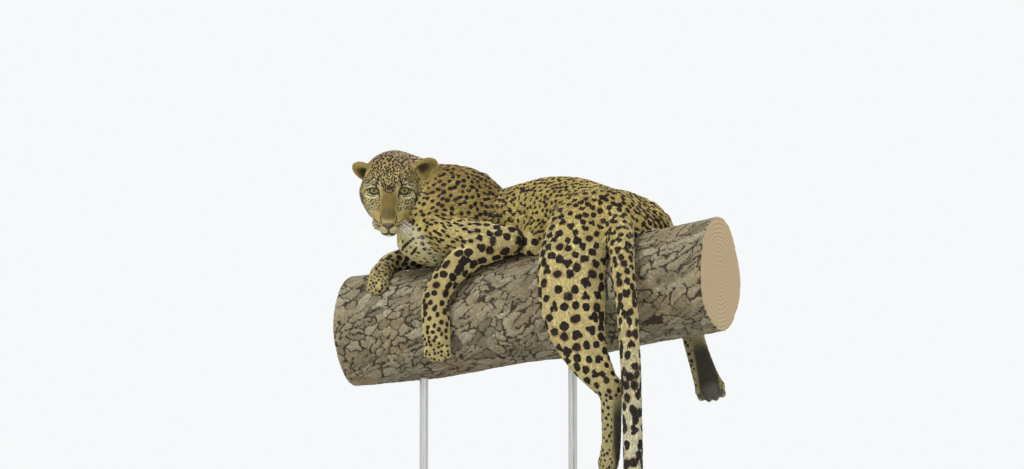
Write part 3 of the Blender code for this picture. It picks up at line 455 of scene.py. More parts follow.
def net(field, low, high, cell, axes=None, origin=None):
    """A closed quad mesh of the surface where the field is zero, as points and faces."""
    low, block = np.array(low), 4
    counts = np.ceil((np.array(high) - low) / cell).astype(int) + 1
    values = np.full(counts, FAR, np.float32)

    def lattice(ranges):
        return np.array(np.meshgrid(*ranges, indexing="ij")).reshape(3, -1).T

    def at(points):
        return field(points if axes is None else origin + points @ axes)

    starts = lattice([np.arange(0, n, block) for n in counts])
    offsets = lattice([np.arange(block)] * 3)

    def cells_of(blocks):
        index = (blocks[:, None, :] + offsets[None]).reshape(-1, 3)
        return index[np.all(index < counts, axis=1)]

    # The field is worked out only in the blocks that the surface can reach.
    middle = at(low + cell * (starts + block / 2))
    reach = cell * block * 1.05
    values[tuple(cells_of(starts[middle <= -reach]).T)] = -FAR
    live = cells_of(starts[np.abs(middle) < reach])
    for part in np.array_split(live, max(1, len(live) // 400000)):
        values[tuple(part.T)] = at(low + part * cell)
    for axis in range(3):
        edge = [slice(None)] * 3
        for end in (0, -1):
            edge[axis] = end
            values[tuple(edge)] = np.maximum(values[tuple(edge)], cell * 0.5)
    sign = values < 0
    corners = [np.array(c) for c in np.ndindex(2, 2, 2)]
    inside = np.array([sign[tuple(slice(c[i], counts[i] - 1 + c[i]) for i in range(3))] for c in corners])
    cells = np.argwhere(inside.any(0) & ~inside.all(0))
    number = np.full(counts - 1, -1, np.int64)
    number[tuple(cells.T)] = np.arange(len(cells))

    # One point in each cell that the surface crosses, in the middle of its crossings of the cell's edges.
    total = np.zeros((len(cells), 3))
    hits = np.zeros(len(cells))
    for a in corners:
        for axis in np.nonzero(a == 0)[0]:
            b = a.copy()
            b[axis] = 1
            va, vb = values[tuple((cells + a).T)], values[tuple((cells + b).T)]
            cross = (va < 0) != (vb < 0)
            t = np.where(cross, va / np.where(cross, va - vb, 1), 0)
            total += np.where(cross[:, None], a + t[:, None] * (b - a), 0)
            hits += cross
    points = low + (cells + total / hits[:, None]) * cell

    # One quad round each edge of the grid that the surface crosses.
    faces = []
    steps = np.eye(3, dtype=int)
    for axis in range(3):
        u, v = (axis + 1) % 3, (axis + 2) % 3
        before = sign[tuple(slice(0, counts[i] - steps[axis][i]) for i in range(3))]
        after = sign[tuple(slice(steps[axis][i], counts[i]) for i in range(3))]
        edges = np.argwhere(before != after)
        for k in (u, v):
            edges = edges[(edges[:, k] > 0) & (edges[:, k] < counts[k] - 1)]
        du, dv = steps[u], steps[v]
        quad = np.stack([number[tuple((edges - m).T)] for m in (du + dv, dv, 0 * du, du)], axis=1)
        faces.append(np.where(sign[tuple(edges.T)][:, None], quad, quad[:, ::-1]))
    return points if axes is None else origin + points @ axes, np.vstack(faces)


# The photograph's viewpoint: the point it looks at, its turn and rise in degrees, and its distance.
AIM = (-0.055, 0.0, 0.78)
VIEW_TURN = 25.0
VIEW_RISE = -5.0
VIEW_DISTANCE = 7.0
LENS = 98.44

# Meshes of the skin: the size of their cells, and the plane where the fine head meets the body.
BODY_CELL = 0.0042
HEAD_CELL = 0.0016
SEAM_POINT = np.array((-0.318, -0.058, 0.905))
SEAM_WAY = np.array((-0.45, -0.75, 0.48))
SEAM_HALF = 0.0013


def blend(a, b, t):
    return a + (b - a) * t


def step01(low, high, x):
    t = np.clip((x - low) / (high - low), 0.0, 1.0)
    return t * t * (3 - 2 * t)


def in_head(p):
    """Points in the head's own axes, in millimetres."""
    return (p - EYE_MIDDLE) @ HEAD_AXES.T * 1000


def head_side(p):
    """How far points lie on the head's side of the seam, in metres."""
    return (p - SEAM_POINT) @ unit(SEAM_WAY)


def coat_depth(p):
    """How far the skin lies under the tips of the coat."""
    depth = blend(0.0042, 0.0028, step01(0.70, 0.52, p[:, 2]) * step01(0.19, 0.20, p[:, 2] + 0.2))
    q = in_head(p)
    on_head = step01(-0.030, 0.030, head_side(p))
    eyes = np.linalg.norm(mirrored(q) - np.array((EYE_APART, EYE_BACK, 0)) * 1000, axis=1)
    mouth = np.linalg.norm(q - np.array((0, -92, -56)), axis=1)
    ears = on_head * step01(52, 66, np.abs(q[:, 0])) * step01(20, 40, q[:, 1])
    depth = blend(depth, 0.0024, on_head)
    depth = blend(depth, 0.0012, on_head * step01(45, 5, q[:, 1]))
    depth = blend(depth, 0.0008, ears)
    bare = step01(22, 14, eyes) + step01(34, 18, mouth)
    return depth * (1 - np.clip(bare, 0, 1) * on_head)


def bough_room(p, gap):
    """Distance into the bough's room, which the skin keeps out of."""
    height = p[:, 2] - bough_axis(p[:, 0])
    turn = np.arctan2(height, p[:, 1])
    return bough_radius(p[:, 0], turn) + gap - np.hypot(height, p[:, 1])


def skin_shape(p):
    """Distance to the skin, at points in the frame of the part."""
    f = flesh(p)
    at = near(p, TAIL[:, :3].min(0) - 0.05, TAIL[:, :3].max(0) + 0.05, 0.0)
    if len(at):
        melt = blend(0.004, 0.026, step01(0.66, 0.76, p[at, 2]))
        f[at] = smooth_min(f[at], tube(p[at], TAIL), melt)
    f = smooth_max(f + coat_depth(p), bough_room(p, 0.0006), 0.003)
    for side in (-1, 1):
        f = np.maximum(f, EYE_RADIUS + 0.0003 - np.linalg.norm(p - eye_place(side), axis=1))
    return f


def eye_place(side):
    """The middle of an eye, in the frame of the part: side is 1 for the animal's left one."""
    return EYE_MIDDLE + EYE_PLACE * (side, 1, 1) @ HEAD_AXES


def normals_of(points, faces):
    """The normal at each point of a quad mesh."""
    across = np.cross(points[faces[:, 2]] - points[faces[:, 0]], points[faces[:, 3]] - points[faces[:, 1]])
    total = np.zeros_like(points)
    for k in range(4):
        np.add.at(total, faces[:, k], across)
    return total / np.maximum(np.linalg.norm(total, axis=1), 1e-12)[:, None]


def settled(field, points, faces, turns=2):
    """Points moved along their normals onto the surface where the field is zero."""
    for _ in range(turns):
        normals = normals_of(points, faces)
        points = points - np.clip(field(points), -0.001, 0.001)[:, None] * normals
    return points


def cut_away(points, faces, middle, way):
    """A bmesh of the part of a mesh on the far side of a plane."""
    mesh = bmesh.new()
    data = bpy.data.meshes.new("half")
    data.from_pydata(points.tolist(), [], faces.tolist())
    mesh.from_mesh(data)
    bpy.data.meshes.remove(data)
    geometry = mesh.verts[:] + mesh.edges[:] + mesh.faces[:]
    bmesh.ops.bisect_plane(mesh, geom=geometry, dist=1e-6, plane_co=middle, plane_no=way, clear_inner=True)
    return mesh


def rim(mesh):
    """The vertices of the longest open edge loop of a mesh, in order."""
    ways = {}
    for e in mesh.edges:
        if len(e.link_faces) == 1:
            for v in e.verts:
                ways.setdefault(v, []).append(e.other_vert(v))
    loops, seen = [], set()
    for v in ways:
        if v in seen:
            continue
        loop = [v]
        seen.add(v)
        while True:
            onward = [n for n in ways[loop[-1]] if n not in seen]
            if not onward:
                break
            loop.append(onward[0])
            seen.add(onward[0])
        loops.append(loop)
    return max(loops, key=len)


def zipped(fine, coarse):
    """Both halves in one mesh, with their open rims joined by triangles."""
    a = [np.array(v.co[:]) for v in rim(fine)]
    b = [np.array(v.co[:]) for v in rim(coarse)]
    data = bpy.data.meshes.new("zip")
    coarse.to_mesh(data)
    fine.from_mesh(data)
    bpy.data.meshes.remove(data)
    coarse.free()
    fine.verts.index_update()
    tree = kdtree.KDTree(len(fine.verts))
    fine.verts.ensure_lookup_table()
    open_verts = {v for e in fine.edges if len(e.link_faces) == 1 for v in e.verts}
    for v in open_verts:
        tree.insert(v.co, v.index)
    tree.balance()
    ring_a = [fine.verts[tree.find(Vector(p))[1]] for p in a]
    start = min(range(len(b)), key=lambda i: np.linalg.norm(b[i] - a[0]))
    b = b[start:] + b[:start]
    ahead = np.array(a[len(a) // 20]) - a[0]
    if (b[len(b) // 20] - b[0]) @ ahead < 0:
        b = [b[0]] + b[1:][::-1]
    ring_b = [fine.verts[tree.find(Vector(p))[1]] for p in b]
    i = j = 0
    while i < len(a) or j < len(b):
        pa, pb = ring_a[i % len(a)], ring_b[j % len(b)]
        na, nb = ring_a[(i + 1) % len(a)], ring_b[(j + 1) % len(b)]
        take_a = j >= len(b) or (i < len(a) and (na.co - pb.co).length < (nb.co - pa.co).length)
        face = (pa, na, pb) if take_a else (pa, nb, pb)
        if len(set(face)) == 3 and not fine.faces.get(face):
            fine.faces.new(face)
        i, j = (i + 1, j) if take_a else (i, j + 1)
    bmesh.ops.recalc_face_normals(fine, faces=fine.faces[:])
    return fine


def skin_mesh():
    """The whole skin as one closed mesh, finest on the head."""
    way = unit(SEAM_WAY)
    body = net(skin_shape, (-0.47, -0.24, 0.04), (0.48, 0.26, 1.03), BODY_CELL)
    head = net(skin_shape, (-0.150, -0.114, -0.115), (0.150, 0.180, 0.104), HEAD_CELL, HEAD_AXES, EYE_MIDDLE)
    halves = []
    for (points, faces), side in ((head, 1), (body, -1)):
        kept = head_side(points) * side > -0.008
        whole = kept[faces].all(1)
        used = np.unique(faces[whole])
        order = np.full(len(points), -1)
        order[used] = np.arange(len(used))
        faces = order[faces[whole]]
        points = settled(skin_shape, points[used], faces)
        halves.append(cut_away(points, faces, SEAM_POINT + way * side * SEAM_HALF, way * side))
    return zipped(*halves)


# Shares that set the gaps between the spots and their half sizes on the body.
SPOT_GAP, SPOT_SIZE = 0.87, 1.13
# The same gaps and half sizes on the face and on the crown, in millimetres.
HEAD_SPOTS = ((5.8, 10.6), (5.1, 8.8), (2.3, 4.7), (1.8, 3.6))


def paw_end(name):
    start, way, *_, length, r = paw_parts(PAWS[name])
    return (*(start + way * length), 0.030, 0.020, 0.020)


def path_lengths(rows):
    """The lengths between the stations of a path, and how far along it each station is."""
    lengths = np.linalg.norm(np.diff(rows[:, :3], axis=0), axis=1)
    return lengths, np.concatenate(((0,), np.cumsum(lengths)))


# How the coat runs: each path goes with the lie of the fur, from the neck back and down each limb.
COAT_PATHS = {
    "neck": NECK[::-1],
    "torso": TORSO,
    "arm_left": np.vstack((UPPER_ARM_LEFT, FOREARM_LEFT[1:], paw_end("fore_left"))),
    "arm_right": np.vstack((UPPER_ARM_RIGHT, FOREARM_RIGHT[1:], paw_end("fore_right"))),
    "leg_left": np.vstack((THIGH_LEFT, FOOT_LEFT_HIND[1:], paw_end("hind_left"))),
    "leg_right": np.vstack((THIGH_RIGHT, SHANK_RIGHT[1:], FOOT_RIGHT_HIND[1:], paw_end("hind_right"))),
    "tail": TAIL,
}
# Spots along each path: how far along it, then in millimetres the gap between spots along and across the lie,
# their half sizes along and across it, and the share that are broken rosettes.
SPOTS = {
    "neck": (
        (0.0, 14.0, 13.0, 4.4, 3.4, 0.0), (0.5, 15.5, 14.5, 4.8, 4.2, 0.1), (1.0, 17.5, 16.5, 5.4, 5.0, 0.1),
    ),
    "torso": (
        (0.00, 20, 18, 5.0, 4.4, 0.0), (0.15, 18.5, 17.5, 5.4, 5.0, 0.1), (0.27, 15.0, 17.5, 4.3, 5.9, 0.1),
        (0.36, 10.5, 17.5, 2.95, 6.7, 0.0), (0.52, 11.0, 16.5, 3.2, 6.0, 0.1),
        (0.64, 13.5, 15.5, 3.9, 4.7, 0.25),
        (0.80, 16.0, 16.5, 4.7, 4.9, 0.35), (1.00, 19.5, 19.0, 5.9, 5.8, 0.4),
    ),
    "arm_left": (
        (0.00, 18.0, 12.5, 5.8, 3.6, 0.0), (0.16, 17.5, 11.5, 6.2, 3.0, 0.0), (0.28, 24, 20, 8.4, 6.6, 0.1),
        (0.38, 29, 28, 10.6, 9.6, 0.25), (0.56, 29, 28, 10.4, 9.4, 0.25), (0.68, 25, 23, 8.6, 7.6, 0.1),
        (0.80, 20.5, 18, 7.0, 5.4, 0.0), (0.88, 15, 14, 4.8, 4.0, 0.0), (0.94, 11, 10.5, 3.2, 2.9, 0.0),
        (1.00, 9.5, 9.2, 2.6, 2.4, 0.0),
    ),
    "arm_right": (
        (0.00, 18.0, 16.0, 5.6, 4.6, 0.0), (0.35, 22, 20, 7.4, 6.4, 0.1), (0.60, 21, 19, 7.0, 6.2, 0.1),
        (0.80, 17, 16, 5.6, 5.0, 0.0), (0.90, 12, 11.5, 3.4, 3.0, 0.0), (1.00, 9.5, 9.2, 2.6, 2.4, 0.0),
    ),
    "leg_left": (
        (0.00, 19.5, 19.0, 6.2, 6.0, 0.3), (0.12, 24, 23, 7.6, 7.2, 0.4), (0.25, 31, 29, 9.8, 9.0, 0.4),
        (0.45, 32, 30, 10.2, 9.4, 0.3), (0.57, 28, 26, 8.8, 8.0, 0.1), (0.65, 22, 20, 6.6, 5.8, 0.0),
        (0.71, 14.5, 13.5, 4.2, 3.7, 0.0), (0.90, 12, 11, 3.4, 3.0, 0.0), (1.00, 9.5, 9.2, 2.6, 2.4, 0.0),
    ),
    "leg_right": (
        (0.00, 19.5, 19.0, 6.2, 6.0, 0.4), (0.20, 27, 25, 8.6, 8.0, 0.7), (0.45, 27, 25, 8.6, 8.0, 0.4),
        (0.60, 19, 18, 5.8, 5.2, 0.0), (0.70, 14.5, 13.5, 4.2, 3.7, 0.0), (0.90, 12, 11, 3.4, 3.0, 0.0),
        (1.00, 9.5, 9.2, 2.6, 2.4, 0.0),
    ),
    "tail": (
        (0.00, 19, 17, 6.0, 5.6, 0.4), (0.25, 23, 19, 7.4, 6.4, 0.5), (0.50, 26, 21, 8.8, 7.2, 0.3),
        (0.75, 29, 23, 10.2, 8.4, 0.1), (1.00, 33, 26, 12.0, 9.5, 0.0),
    ),
}


def waves(p, size, seed, count=7):
    """Smooth noise of about -1 to 1, made of sine waves of about the given size."""
    rng = np.random.default_rng(seed)
    total = np.zeros(len(p))
    for _ in range(count):
        way = unit(rng.normal(size=3)) * 2 * math.pi / (size * rng.uniform(0.7, 1.5))
        total += np.sin(p @ way + rng.uniform(0, 2 * math.pi))
    return total / math.sqrt(count) * 0.8


def coat_ways(p):
    """For each point the lie of the coat, the nearest path's number and how far along that path it is."""
    lie = np.zeros((len(p), 3))
    total = np.full(len(p), 1e-9)
    best = np.full(len(p), np.inf)
    path, along = np.zeros(len(p), int), np.zeros(len(p))
    for number, rows in enumerate(COAT_PATHS.values()):
        lengths, marks = path_lengths(rows)
        for i, (a, b) in enumerate(zip(rows[:-1], rows[1:])):
            ab = b[:3] - a[:3]
            t = np.clip((p - a[:3]) @ ab / (ab @ ab), 0, 1)
            away = np.linalg.norm(p - a[:3] - t[:, None] * ab, axis=1)
            gap = away - (a[3:6].mean() * (1 - t) + b[3:6].mean() * t)
            weight = np.exp(-np.maximum(gap + 0.02, 0) / 0.012)
            lie += weight[:, None] * ab / lengths[i]
            total += weight
            closer = gap < best
            best = np.where(closer, gap, best)
            path = np.where(closer, number, path)
            along = np.where(closer, (marks[i] + t * lengths[i]) / marks[-1], along)
    return lie / total[:, None], path, along


def head_lie(q):
    """The lie of the fur in the head's own axes: back from the nose, over the brow and out on the cheeks."""
    way = q - np.array((0.0, -118.0, -40.0))
    way[:, 0] *= 0.9
    cheek = step01(15, 50, np.abs(q[:, 0])) * step01(10, -30, q[:, 2])
    way[:, 2] -= cheek * 60
    lip = step01(-52, -62, q[:, 2]) * step01(-30, -50, q[:, 1])
    way = way / np.linalg.norm(way, axis=1)[:, None]
    outward_lie = np.column_stack((np.sign(q[:, 0]) * 0.9, np.full(len(q), 0.4), np.full(len(q), -0.7)))
    return way + lip[:, None] * outward_lie


def tangent(v, normals):
    v = v - (v * normals).sum(1)[:, None] * normals
    return v / np.maximum(np.linalg.norm(v, axis=1), 1e-6)[:, None]


def spot_sizes(path, along):
    """The row of SPOTS for each point, in metres apart from the last column."""
    sizes = np.zeros((len(path), 5))
    for number, name in enumerate(COAT_PATHS):
        table = np.array(SPOTS[name], float)
        at = path == number
        for k in range(5):
            sizes[at, k] = np.interp(along[at], table[:, 0], table[:, k + 1])
    sizes[:, :2] *= 0.001 * SPOT_GAP
    sizes[:, 2:4] *= 0.001 * SPOT_SIZE
    return sizes


def head_sizes(q, sizes, on_head):
    """Spot sizes on the head: larger on the crown, smallest on the face."""
    crown = step01(35, 85, q[:, 2] + 0.35 * q[:, 1])
    head = np.column_stack([blend(*pair, crown) for pair in HEAD_SPOTS] + [np.zeros(len(q))])
    return sizes + on_head[:, None] * (head * (0.001, 0.001, 0.001, 0.001, 1) - sizes)


def sown(points, lie, side, sizes, allowed, seed):
    """Picks points, none nearer another than the gaps of its place, measured along and across the lie."""
    grid, kept = {}, []

    def crowds(d, i):
        along, across = sizes[i, :2]
        u, w = d @ lie[i], d @ side[i]
        rest = max(d @ d - u * u - w * w, 0)
        return (u / along) ** 2 + (w / across) ** 2 + rest / (along * across) < CROWDED

    for i in np.random.default_rng(seed).permutation(np.nonzero(allowed)[0]):
        cell = tuple((points[i] // SOWING_CELL).astype(int))
        reach = int(sizes[i, :2].max() / SOWING_CELL) + 1
        beside = (
            j for step in product(range(-reach, reach + 1), repeat=3)
            for j in grid.get((cell[0] + step[0], cell[1] + step[1], cell[2] + step[2]), ())
        )
        if not any(crowds(points[j] - points[i], i) for j in beside):
            kept.append(i)
            grid.setdefault(cell, []).append(i)
    return np.array(kept)


# Strokes of the face on one side, in millimetres out from the middle and up, as the face is seen from its
# front: the points of each stroke and its half width.
FACE_LINES = (
    (((24.5, 37), (28, 27), (31, 17.5), (31, 10), (27, 2), (24, -7), (22.5, -14)), 1.7),
    (((26, 1.5), (32.5, 7.0), (43, 8.6), (54, 4.7)), 1.1),
    (((25.5, -6), (32.5, -9.3), (43, -8.6), (52, -2.8), (54, 4)), 1.0),
    (((35, -13), (46, -12.6), (55, -9.5)), 1.0),
    (((54, 4.7), (61, 1.5), (65.5, -6), (66.5, -17), (64, -27)), 1.2),
    (((33, 15.5), (43, 17.5)), 1.2), (((48, 16), (58, 12)), 1.1), (((35, 32), (43, 30)), 1.4),
    (((47, 27), (55, 23)), 1.2),
    (((0, -4), (5, -3)), 1.0), (((8, -1.5), (12, 3)), 1.1), (((0, 4.5), (4.5, 5.5)), 1.1),
    (((7.5, 7), (12, 11)), 1.1),
    (((14, 14), (16.5, 20)), 1.1), (((0, 12), (3.5, 13)), 1.1), (((6.5, 15), (10, 20)), 1.1),
    (((12, 24), (14, 31)), 1.2),
    (((17.6, -86), (26, -84), (41, -74.5)), 0.85), (((20, -90), (30.5, -86), (43, -78.6)), 0.85),
    (((23, -94), (34.7, -90.5), (41, -87)), 0.8), (((20.5, -80), (28, -76.5), (37, -69)), 0.85),
    (((20, -63), (19.5, -72), (16, -80)), 1.1), (((0, -93), (0, -103.5)), 1.5),
    (((0, -103.5), (8, -106.5), (20, -105.5), (33, -100)), 1.6),
)
# Patches of the face on one side: place, half sizes, strength and colour.
FACE_PATCHES = (
    ((50, -30), (30, 26), 0.75, (0.43, 0.375, 0.165)), ((36, -66), (18, 12), 0.5, (0.40, 0.30, 0.10)),
    ((0, -30), (19, 38), 1.0, (0.175, 0.121, 0.026)), ((0, -58), (20, 15), 0.85, (0.105, 0.075, 0.018)),
    ((53, 13), (12, 5), 0.9, (0.62, 0.58, 0.38)), ((37, 24), (5, 9), 0.7, (0.60, 0.54, 0.33)),
    ((43, -13), (15, 4), 0.9, (0.62, 0.57, 0.37)), ((21, 16), (2.6, 16), 0.8, (0.52, 0.44, 0.22)),
    ((21, -12), (2.6, 13), 0.8, (0.50, 0.42, 0.20)), ((17, -97), (16, 8), 0.95, (0.58, 0.52, 0.24)),
    ((0, -116), (34, 10), 1.0, (0.66, 0.65, 0.45)),
)
# The two dark bars of the chest, and the gaps and half sizes of the small spots between them, in metres.
CHEST_BARS = (
    ((-0.304, -0.116, 0.741), (-0.291, -0.126, 0.750), (-0.262, -0.134, 0.768)),
    ((-0.281, -0.111, 0.730), (-0.272, -0.117, 0.735), (-0.259, -0.124, 0.745)),
)
CHEST_SPOTS = (0.0165, 0.0130, 0.0043, 0.0030, 0.0)
# Painted shadow: the dark line in the crease between the left elbow and the flank, where shade falls in the
# gap.
ELBOW_SHADE_LINE = ((-0.006, -0.070, 0.788), (0.004, -0.078, 0.763), (0.002, -0.074, 0.742))
# Colours of the coat and of the bare skin, and the painted shade that darkens the neck and the waist.
GOLD, SAND = (0.35, 0.238, 0.060), (0.48, 0.378, 0.120)
CREAM, WHITE = (0.56, 0.465, 0.205), (0.70, 0.655, 0.455)
EAR_CUP, EAR_BACK = (0.26, 0.190, 0.045), (0.020, 0.015, 0.010)
# The first colour on the next line darkens the pit of each ear's cup, as painted shade in its hollow.
EAR_CUP_SHADE, EAR_SPOT, SOLE = (0.050, 0.036, 0.014), (0.55, 0.49, 0.32), (0.050, 0.045, 0.032)
SHADED_NECK, SHADED_WAIST, SHANK = (0.26, 0.172, 0.045), (0.26, 0.178, 0.050), (0.43, 0.375, 0.185)
CHEST, TAIL_END, CROWN = (0.66, 0.585, 0.27), (0.55, 0.515, 0.355), (0.39, 0.280, 0.095)
# The second colour on the next line is painted shadow, for the crease between the left elbow and the flank.
FACE, CREASE_SHADE = (0.36, 0.278, 0.092), (0.055, 0.042, 0.022)
# The distance that stands for no mark near, the size of the cells in which sown spots are looked up, and how
# near, as a share of its gaps squared, a spot crowds another.
CLEAR = 0.02
SOWING_CELL = 0.012
CROWDED = 0.80


def face_plane(q):
    """Places on the face as it is seen from its front: millimetres out from the middle and up."""
    return np.column_stack((np.abs(q[:, 0]), 0.891 * q[:, 2] + 0.454 * q[:, 1]))


def blobs_of(points, lie, side, sizes, seeds, seed):
    """Every dark blob as its centre, two ways, two half sizes, and the size of the brown middle it rings."""
    rng = np.random.default_rng(seed)
    rows = []
    for i in seeds:
        ra, rb, share = sizes[i, 2:]
        ra, rb = ra * rng.uniform(0.84, 1.14), rb * rng.uniform(0.84, 1.14)
        turn = rng.normal(0, 0.22)
        d = lie[i] * math.cos(turn) + side[i] * math.sin(turn)
        b = side[i] * math.cos(turn) - lie[i] * math.sin(turn)

        def blob(size, reach=0.0, angle=0.0):
            centre = points[i] + d * ra * reach * math.cos(angle) + b * rb * reach * math.sin(angle)
            rows.append((*centre, *d, *b, ra * size, rb * size, 0.0))

        def middle(size):
            rows.append((*points[i], *d, *b, 1e-6, 1e-6, 0.5 * (ra + rb) * size))

        if rng.random() < share:
            count = rng.integers(3, 5)
            start = rng.uniform(0, 2 * math.pi)
            for k in range(count):
                angle = start + 2 * math.pi * k / count + rng.normal(0, 0.2)
                blob(rng.uniform(0.50, 0.66), 0.62, angle)
            middle(0.80)
        else:
            blob(0.92)
            if min(ra, rb) > 0.0028 and rng.random() < 0.3:
                middle(1.35)
            if rng.random() < 0.55:
                blob(0.68, 0.50, rng.uniform(0, 2 * math.pi))
    return np.array(rows)


def blob_distance(points, blobs, count=6):
    """Distance to the nearest dark blob and to the nearest brown middle, both under zero inside."""
    tree = kdtree.KDTree(len(blobs))
    for i, row in enumerate(blobs):
        tree.insert(row[:3], i)
    tree.balance()
    found = np.array([[hit[1] for hit in tree.find_n(p, count)] for p in points])
    dark, brown = np.full((2, len(points)), CLEAR)
    power = 2.6
    for k in range(count):
        row = blobs[found[:, k]]
        away = points - row[:, :3]
        u, w = (away * row[:, 3:6]).sum(1), (away * row[:, 6:9]).sum(1)
        rest = np.maximum((away * away).sum(1) - u * u - w * w, 0)
        ra, rb = row[:, 9], row[:, 10]
        size = np.sqrt(ra * rb)
        deep = (rest ** 0.5 / np.maximum(size, 1e-4) * 0.8) ** power
        reach = ((np.abs(u) / ra) ** power + (np.abs(w) / rb) ** power + deep) ** (1 / power)
        dark = np.minimum(dark, np.where(row[:, 11] > 0, CLEAR, (reach - 1) * size))
        brown = np.minimum(brown, np.where(row[:, 11] > 0, np.sqrt(u * u + w * w + rest) - row[:, 11], CLEAR))
    return dark, brown


def ear_shares(q, normals, on_head):
    """How far each point is on an ear, in its cup, and in the pit of the cup."""
    ears, cup, pit = np.zeros((3, len(q)))
    for ear in EARS.values():
        axes = ear_axes(ear)
        d = (q - np.array(ear[0])) @ axes.T
        r = np.array(ear[3]) + 5
        at = step01(1.25, 0.95, np.sqrt((d[:, 0] / r[0]) ** 2 + (d[:, 1] / r[1]) ** 2))
        at = at * step01(-22, -8, d[:, 0]) * step01(26, 18, np.abs(d[:, 2])) * on_head
        facing = (normals @ HEAD_AXES.T) @ axes[2]
        deep = step01(0.62, 0.25, np.sqrt(((d[:, 0] + 4) / r[0]) ** 2 + ((d[:, 1] - 3) / r[1]) ** 2))
        ears = np.maximum(ears, at)
        cup = np.where(at > 0.3, step01(-0.35, 0.15, facing), cup)
        pit = np.where(at > 0.3, deep, pit)
    return ears, cup, pit


def spots_for(points, lie, side, sizes, coat, bare_face):
    """Sows the spots all over, and then the small ones round the two bars of the chest."""
    rng = np.random.default_rng(5)
    belly, chest = coat["belly"], coat["chest"]
    allowed = (bare_face < 0.35) & (belly < 0.9)
    allowed &= rng.random(len(points)) < blend(0.35, 0.9, coat["on_head"])
    allowed &= ~((chest > 0.5) & (rng.random(len(points)) < 0.96))
    seeds = sown(points, lie, side, sizes, allowed, 11)
    blobs = blobs_of(points, lie, side, sizes, seeds, 12)
    for bar in CHEST_BARS:
        blobs = blobs[line_distance(blobs[:, :3], bar) > 0.011]
    front = np.nonzero((chest > 0.3) | (belly > 0.2) & (points[:, 0] < -0.14))[0]
    clear = blob_distance(points[front], blobs)[0] > 0.0055
    for bar in CHEST_BARS:
        clear &= line_distance(points[front], bar) > 0.0105
    breast = np.zeros(len(points), bool)
    breast[front[clear]] = True
    small = np.tile(CHEST_SPOTS, (len(points), 1))
    seeds = sown(points, lie, side, small, breast, 13)
    return np.vstack((blobs, blobs_of(points, lie, side, small, seeds, 14)))


def face_strokes(points, q, flat, front, on_head):
    """Distance to the face's dark strokes, mouth and eye rims, and in millimetres to the mouth alone."""
    lines = np.full(len(points), CLEAR)
    jitter = np.column_stack((waves(points, 0.03, 21), waves(points, 0.03, 22))) * 0.9
    for stroke, half in FACE_LINES:
        lines = np.minimum(lines, (line_distance(flat + jitter, stroke) - half) * 0.001)
    lines = blend(CLEAR, lines, np.clip(front * 2, 0, 1))
    both = mirrored(q)
    lips = line_distance(both, LIP_LINE) - blend(3.4, 1.6, step01(-70, -40, q[:, 1]))
    mouth = np.minimum(lips, line_distance(q, PHILTRUM) - 2.6)
    lines = np.minimum(lines, np.where(on_head > 0.5, mouth * 0.001, CLEAR))
    lids = np.linalg.norm(both - EYE_PLACE * 1000, axis=1) - (EYE_RADIUS + LID_THICK) * 1000 - 0.6
    opening = np.hypot((flat[:, 0] - 39.5) / 13.6, flat[:, 1] / 7.2)
    return np.where((lids < 0.9) & (opening < 1.0) & (on_head > 0.5), -0.001, lines), mouth


def coat_tones(points, normals, coat, sole):
    """The ground colour of the coat, washed on from the back to the paws and the face, with painted shade on
    neck, waist, elbow crease and ear pits.
    """
    path, along, on_head, flat, ears = (coat[k] for k in ("path", "along", "on_head", "flat", "ears"))
    body = 1 - on_head
    torso = np.isin(path, (0, 1))
    limb = np.isin(path, (2, 3, 4, 5)) * body
    tail = (path == 6) * body
    inner = np.where(np.isin(path, (2, 4)), normals[:, 1], -normals[:, 1])
    cup, pit, belly = coat["cup"], coat["pit"], coat["belly"]
    washes = [
        (SAND, step01(0.75, 0.1, normals[:, 2]) * torso),
        (SAND, step01(0.22, 0.50, along) * (path == 1) * 0.9),
        # Painted shade: the neck and the waist behind the shoulder are darkened as they lie in shadow.
        (SHADED_NECK, 0.55 * (path == 0) * body),
        (SHADED_WAIST, 0.60 * (path == 1) * step01(0.14, 0.26, along) * step01(0.46, 0.36, along)),
        (SAND, (path >= 2) * 1.0),
        (CREAM, limb * step01(0.02, 0.20, along)),
        (WHITE, limb * step01(0.1, 0.8, inner) * step01(0.95, 0.8, along) * 0.45),
        (SHANK, np.isin(path, (4, 5)) * step01(0.60, 0.72, along) * 0.8),
        (WHITE, belly),
        (CHEST, np.maximum(coat["chest"], 0.7 * belly * step01(-0.12, -0.18, points[:, 0]))),
        (CREAM, tail * step01(0.05, 0.3, along) * 0.8),
        (TAIL_END, tail * step01(0.35, 0.75, along) * 0.9),
        (CROWN, on_head * step01(30, 80, flat[:, 1])),
        (FACE, on_head * step01(60, 10, flat[:, 1])),
        (WHITE, on_head * step01(-0.1, -0.7, normals @ HEAD_Z) * step01(-40, -70, coat["q"][:, 2]) * 0.9),
    ]
    for place, half, strength, colour in FACE_PATCHES:
        away = np.hypot((flat[:, 0] - place[0]) / half[0], (flat[:, 1] - place[1]) / half[1])
        washes.append((colour, strength * coat["front"] * step01(1.25, 0.7, away)))
    # Painted shadow in the crease between the left elbow and the flank.
    crease_shade_mask = step01(0.013, 0.006, line_distance(points, ELBOW_SHADE_LINE)) * body
    # The pit of each ear's cup takes painted shade for its hollow.
    washes += [
        (EAR_CUP, ears * cup), (EAR_BACK, ears * (1 - cup)), (EAR_SPOT, ears * (1 - cup) * pit * 0.85),
        (EAR_CUP_SHADE, ears * cup * pit), (SOLE, sole * 0.97), (CREASE_SHADE, crease_shade_mask * 0.9),
    ]
    tone = np.tile(GOLD, (len(points), 1)).astype(float)
    for colour, strength in washes:
        tone += (np.array(colour) - tone) * np.clip(strength, 0, 1)[:, None]
    uneven = 1 + 0.07 * waves(points, 0.05, 31) + 0.05 * waves(points, 0.012, 32)
    return np.clip(tone * uneven[:, None], 0, 1)


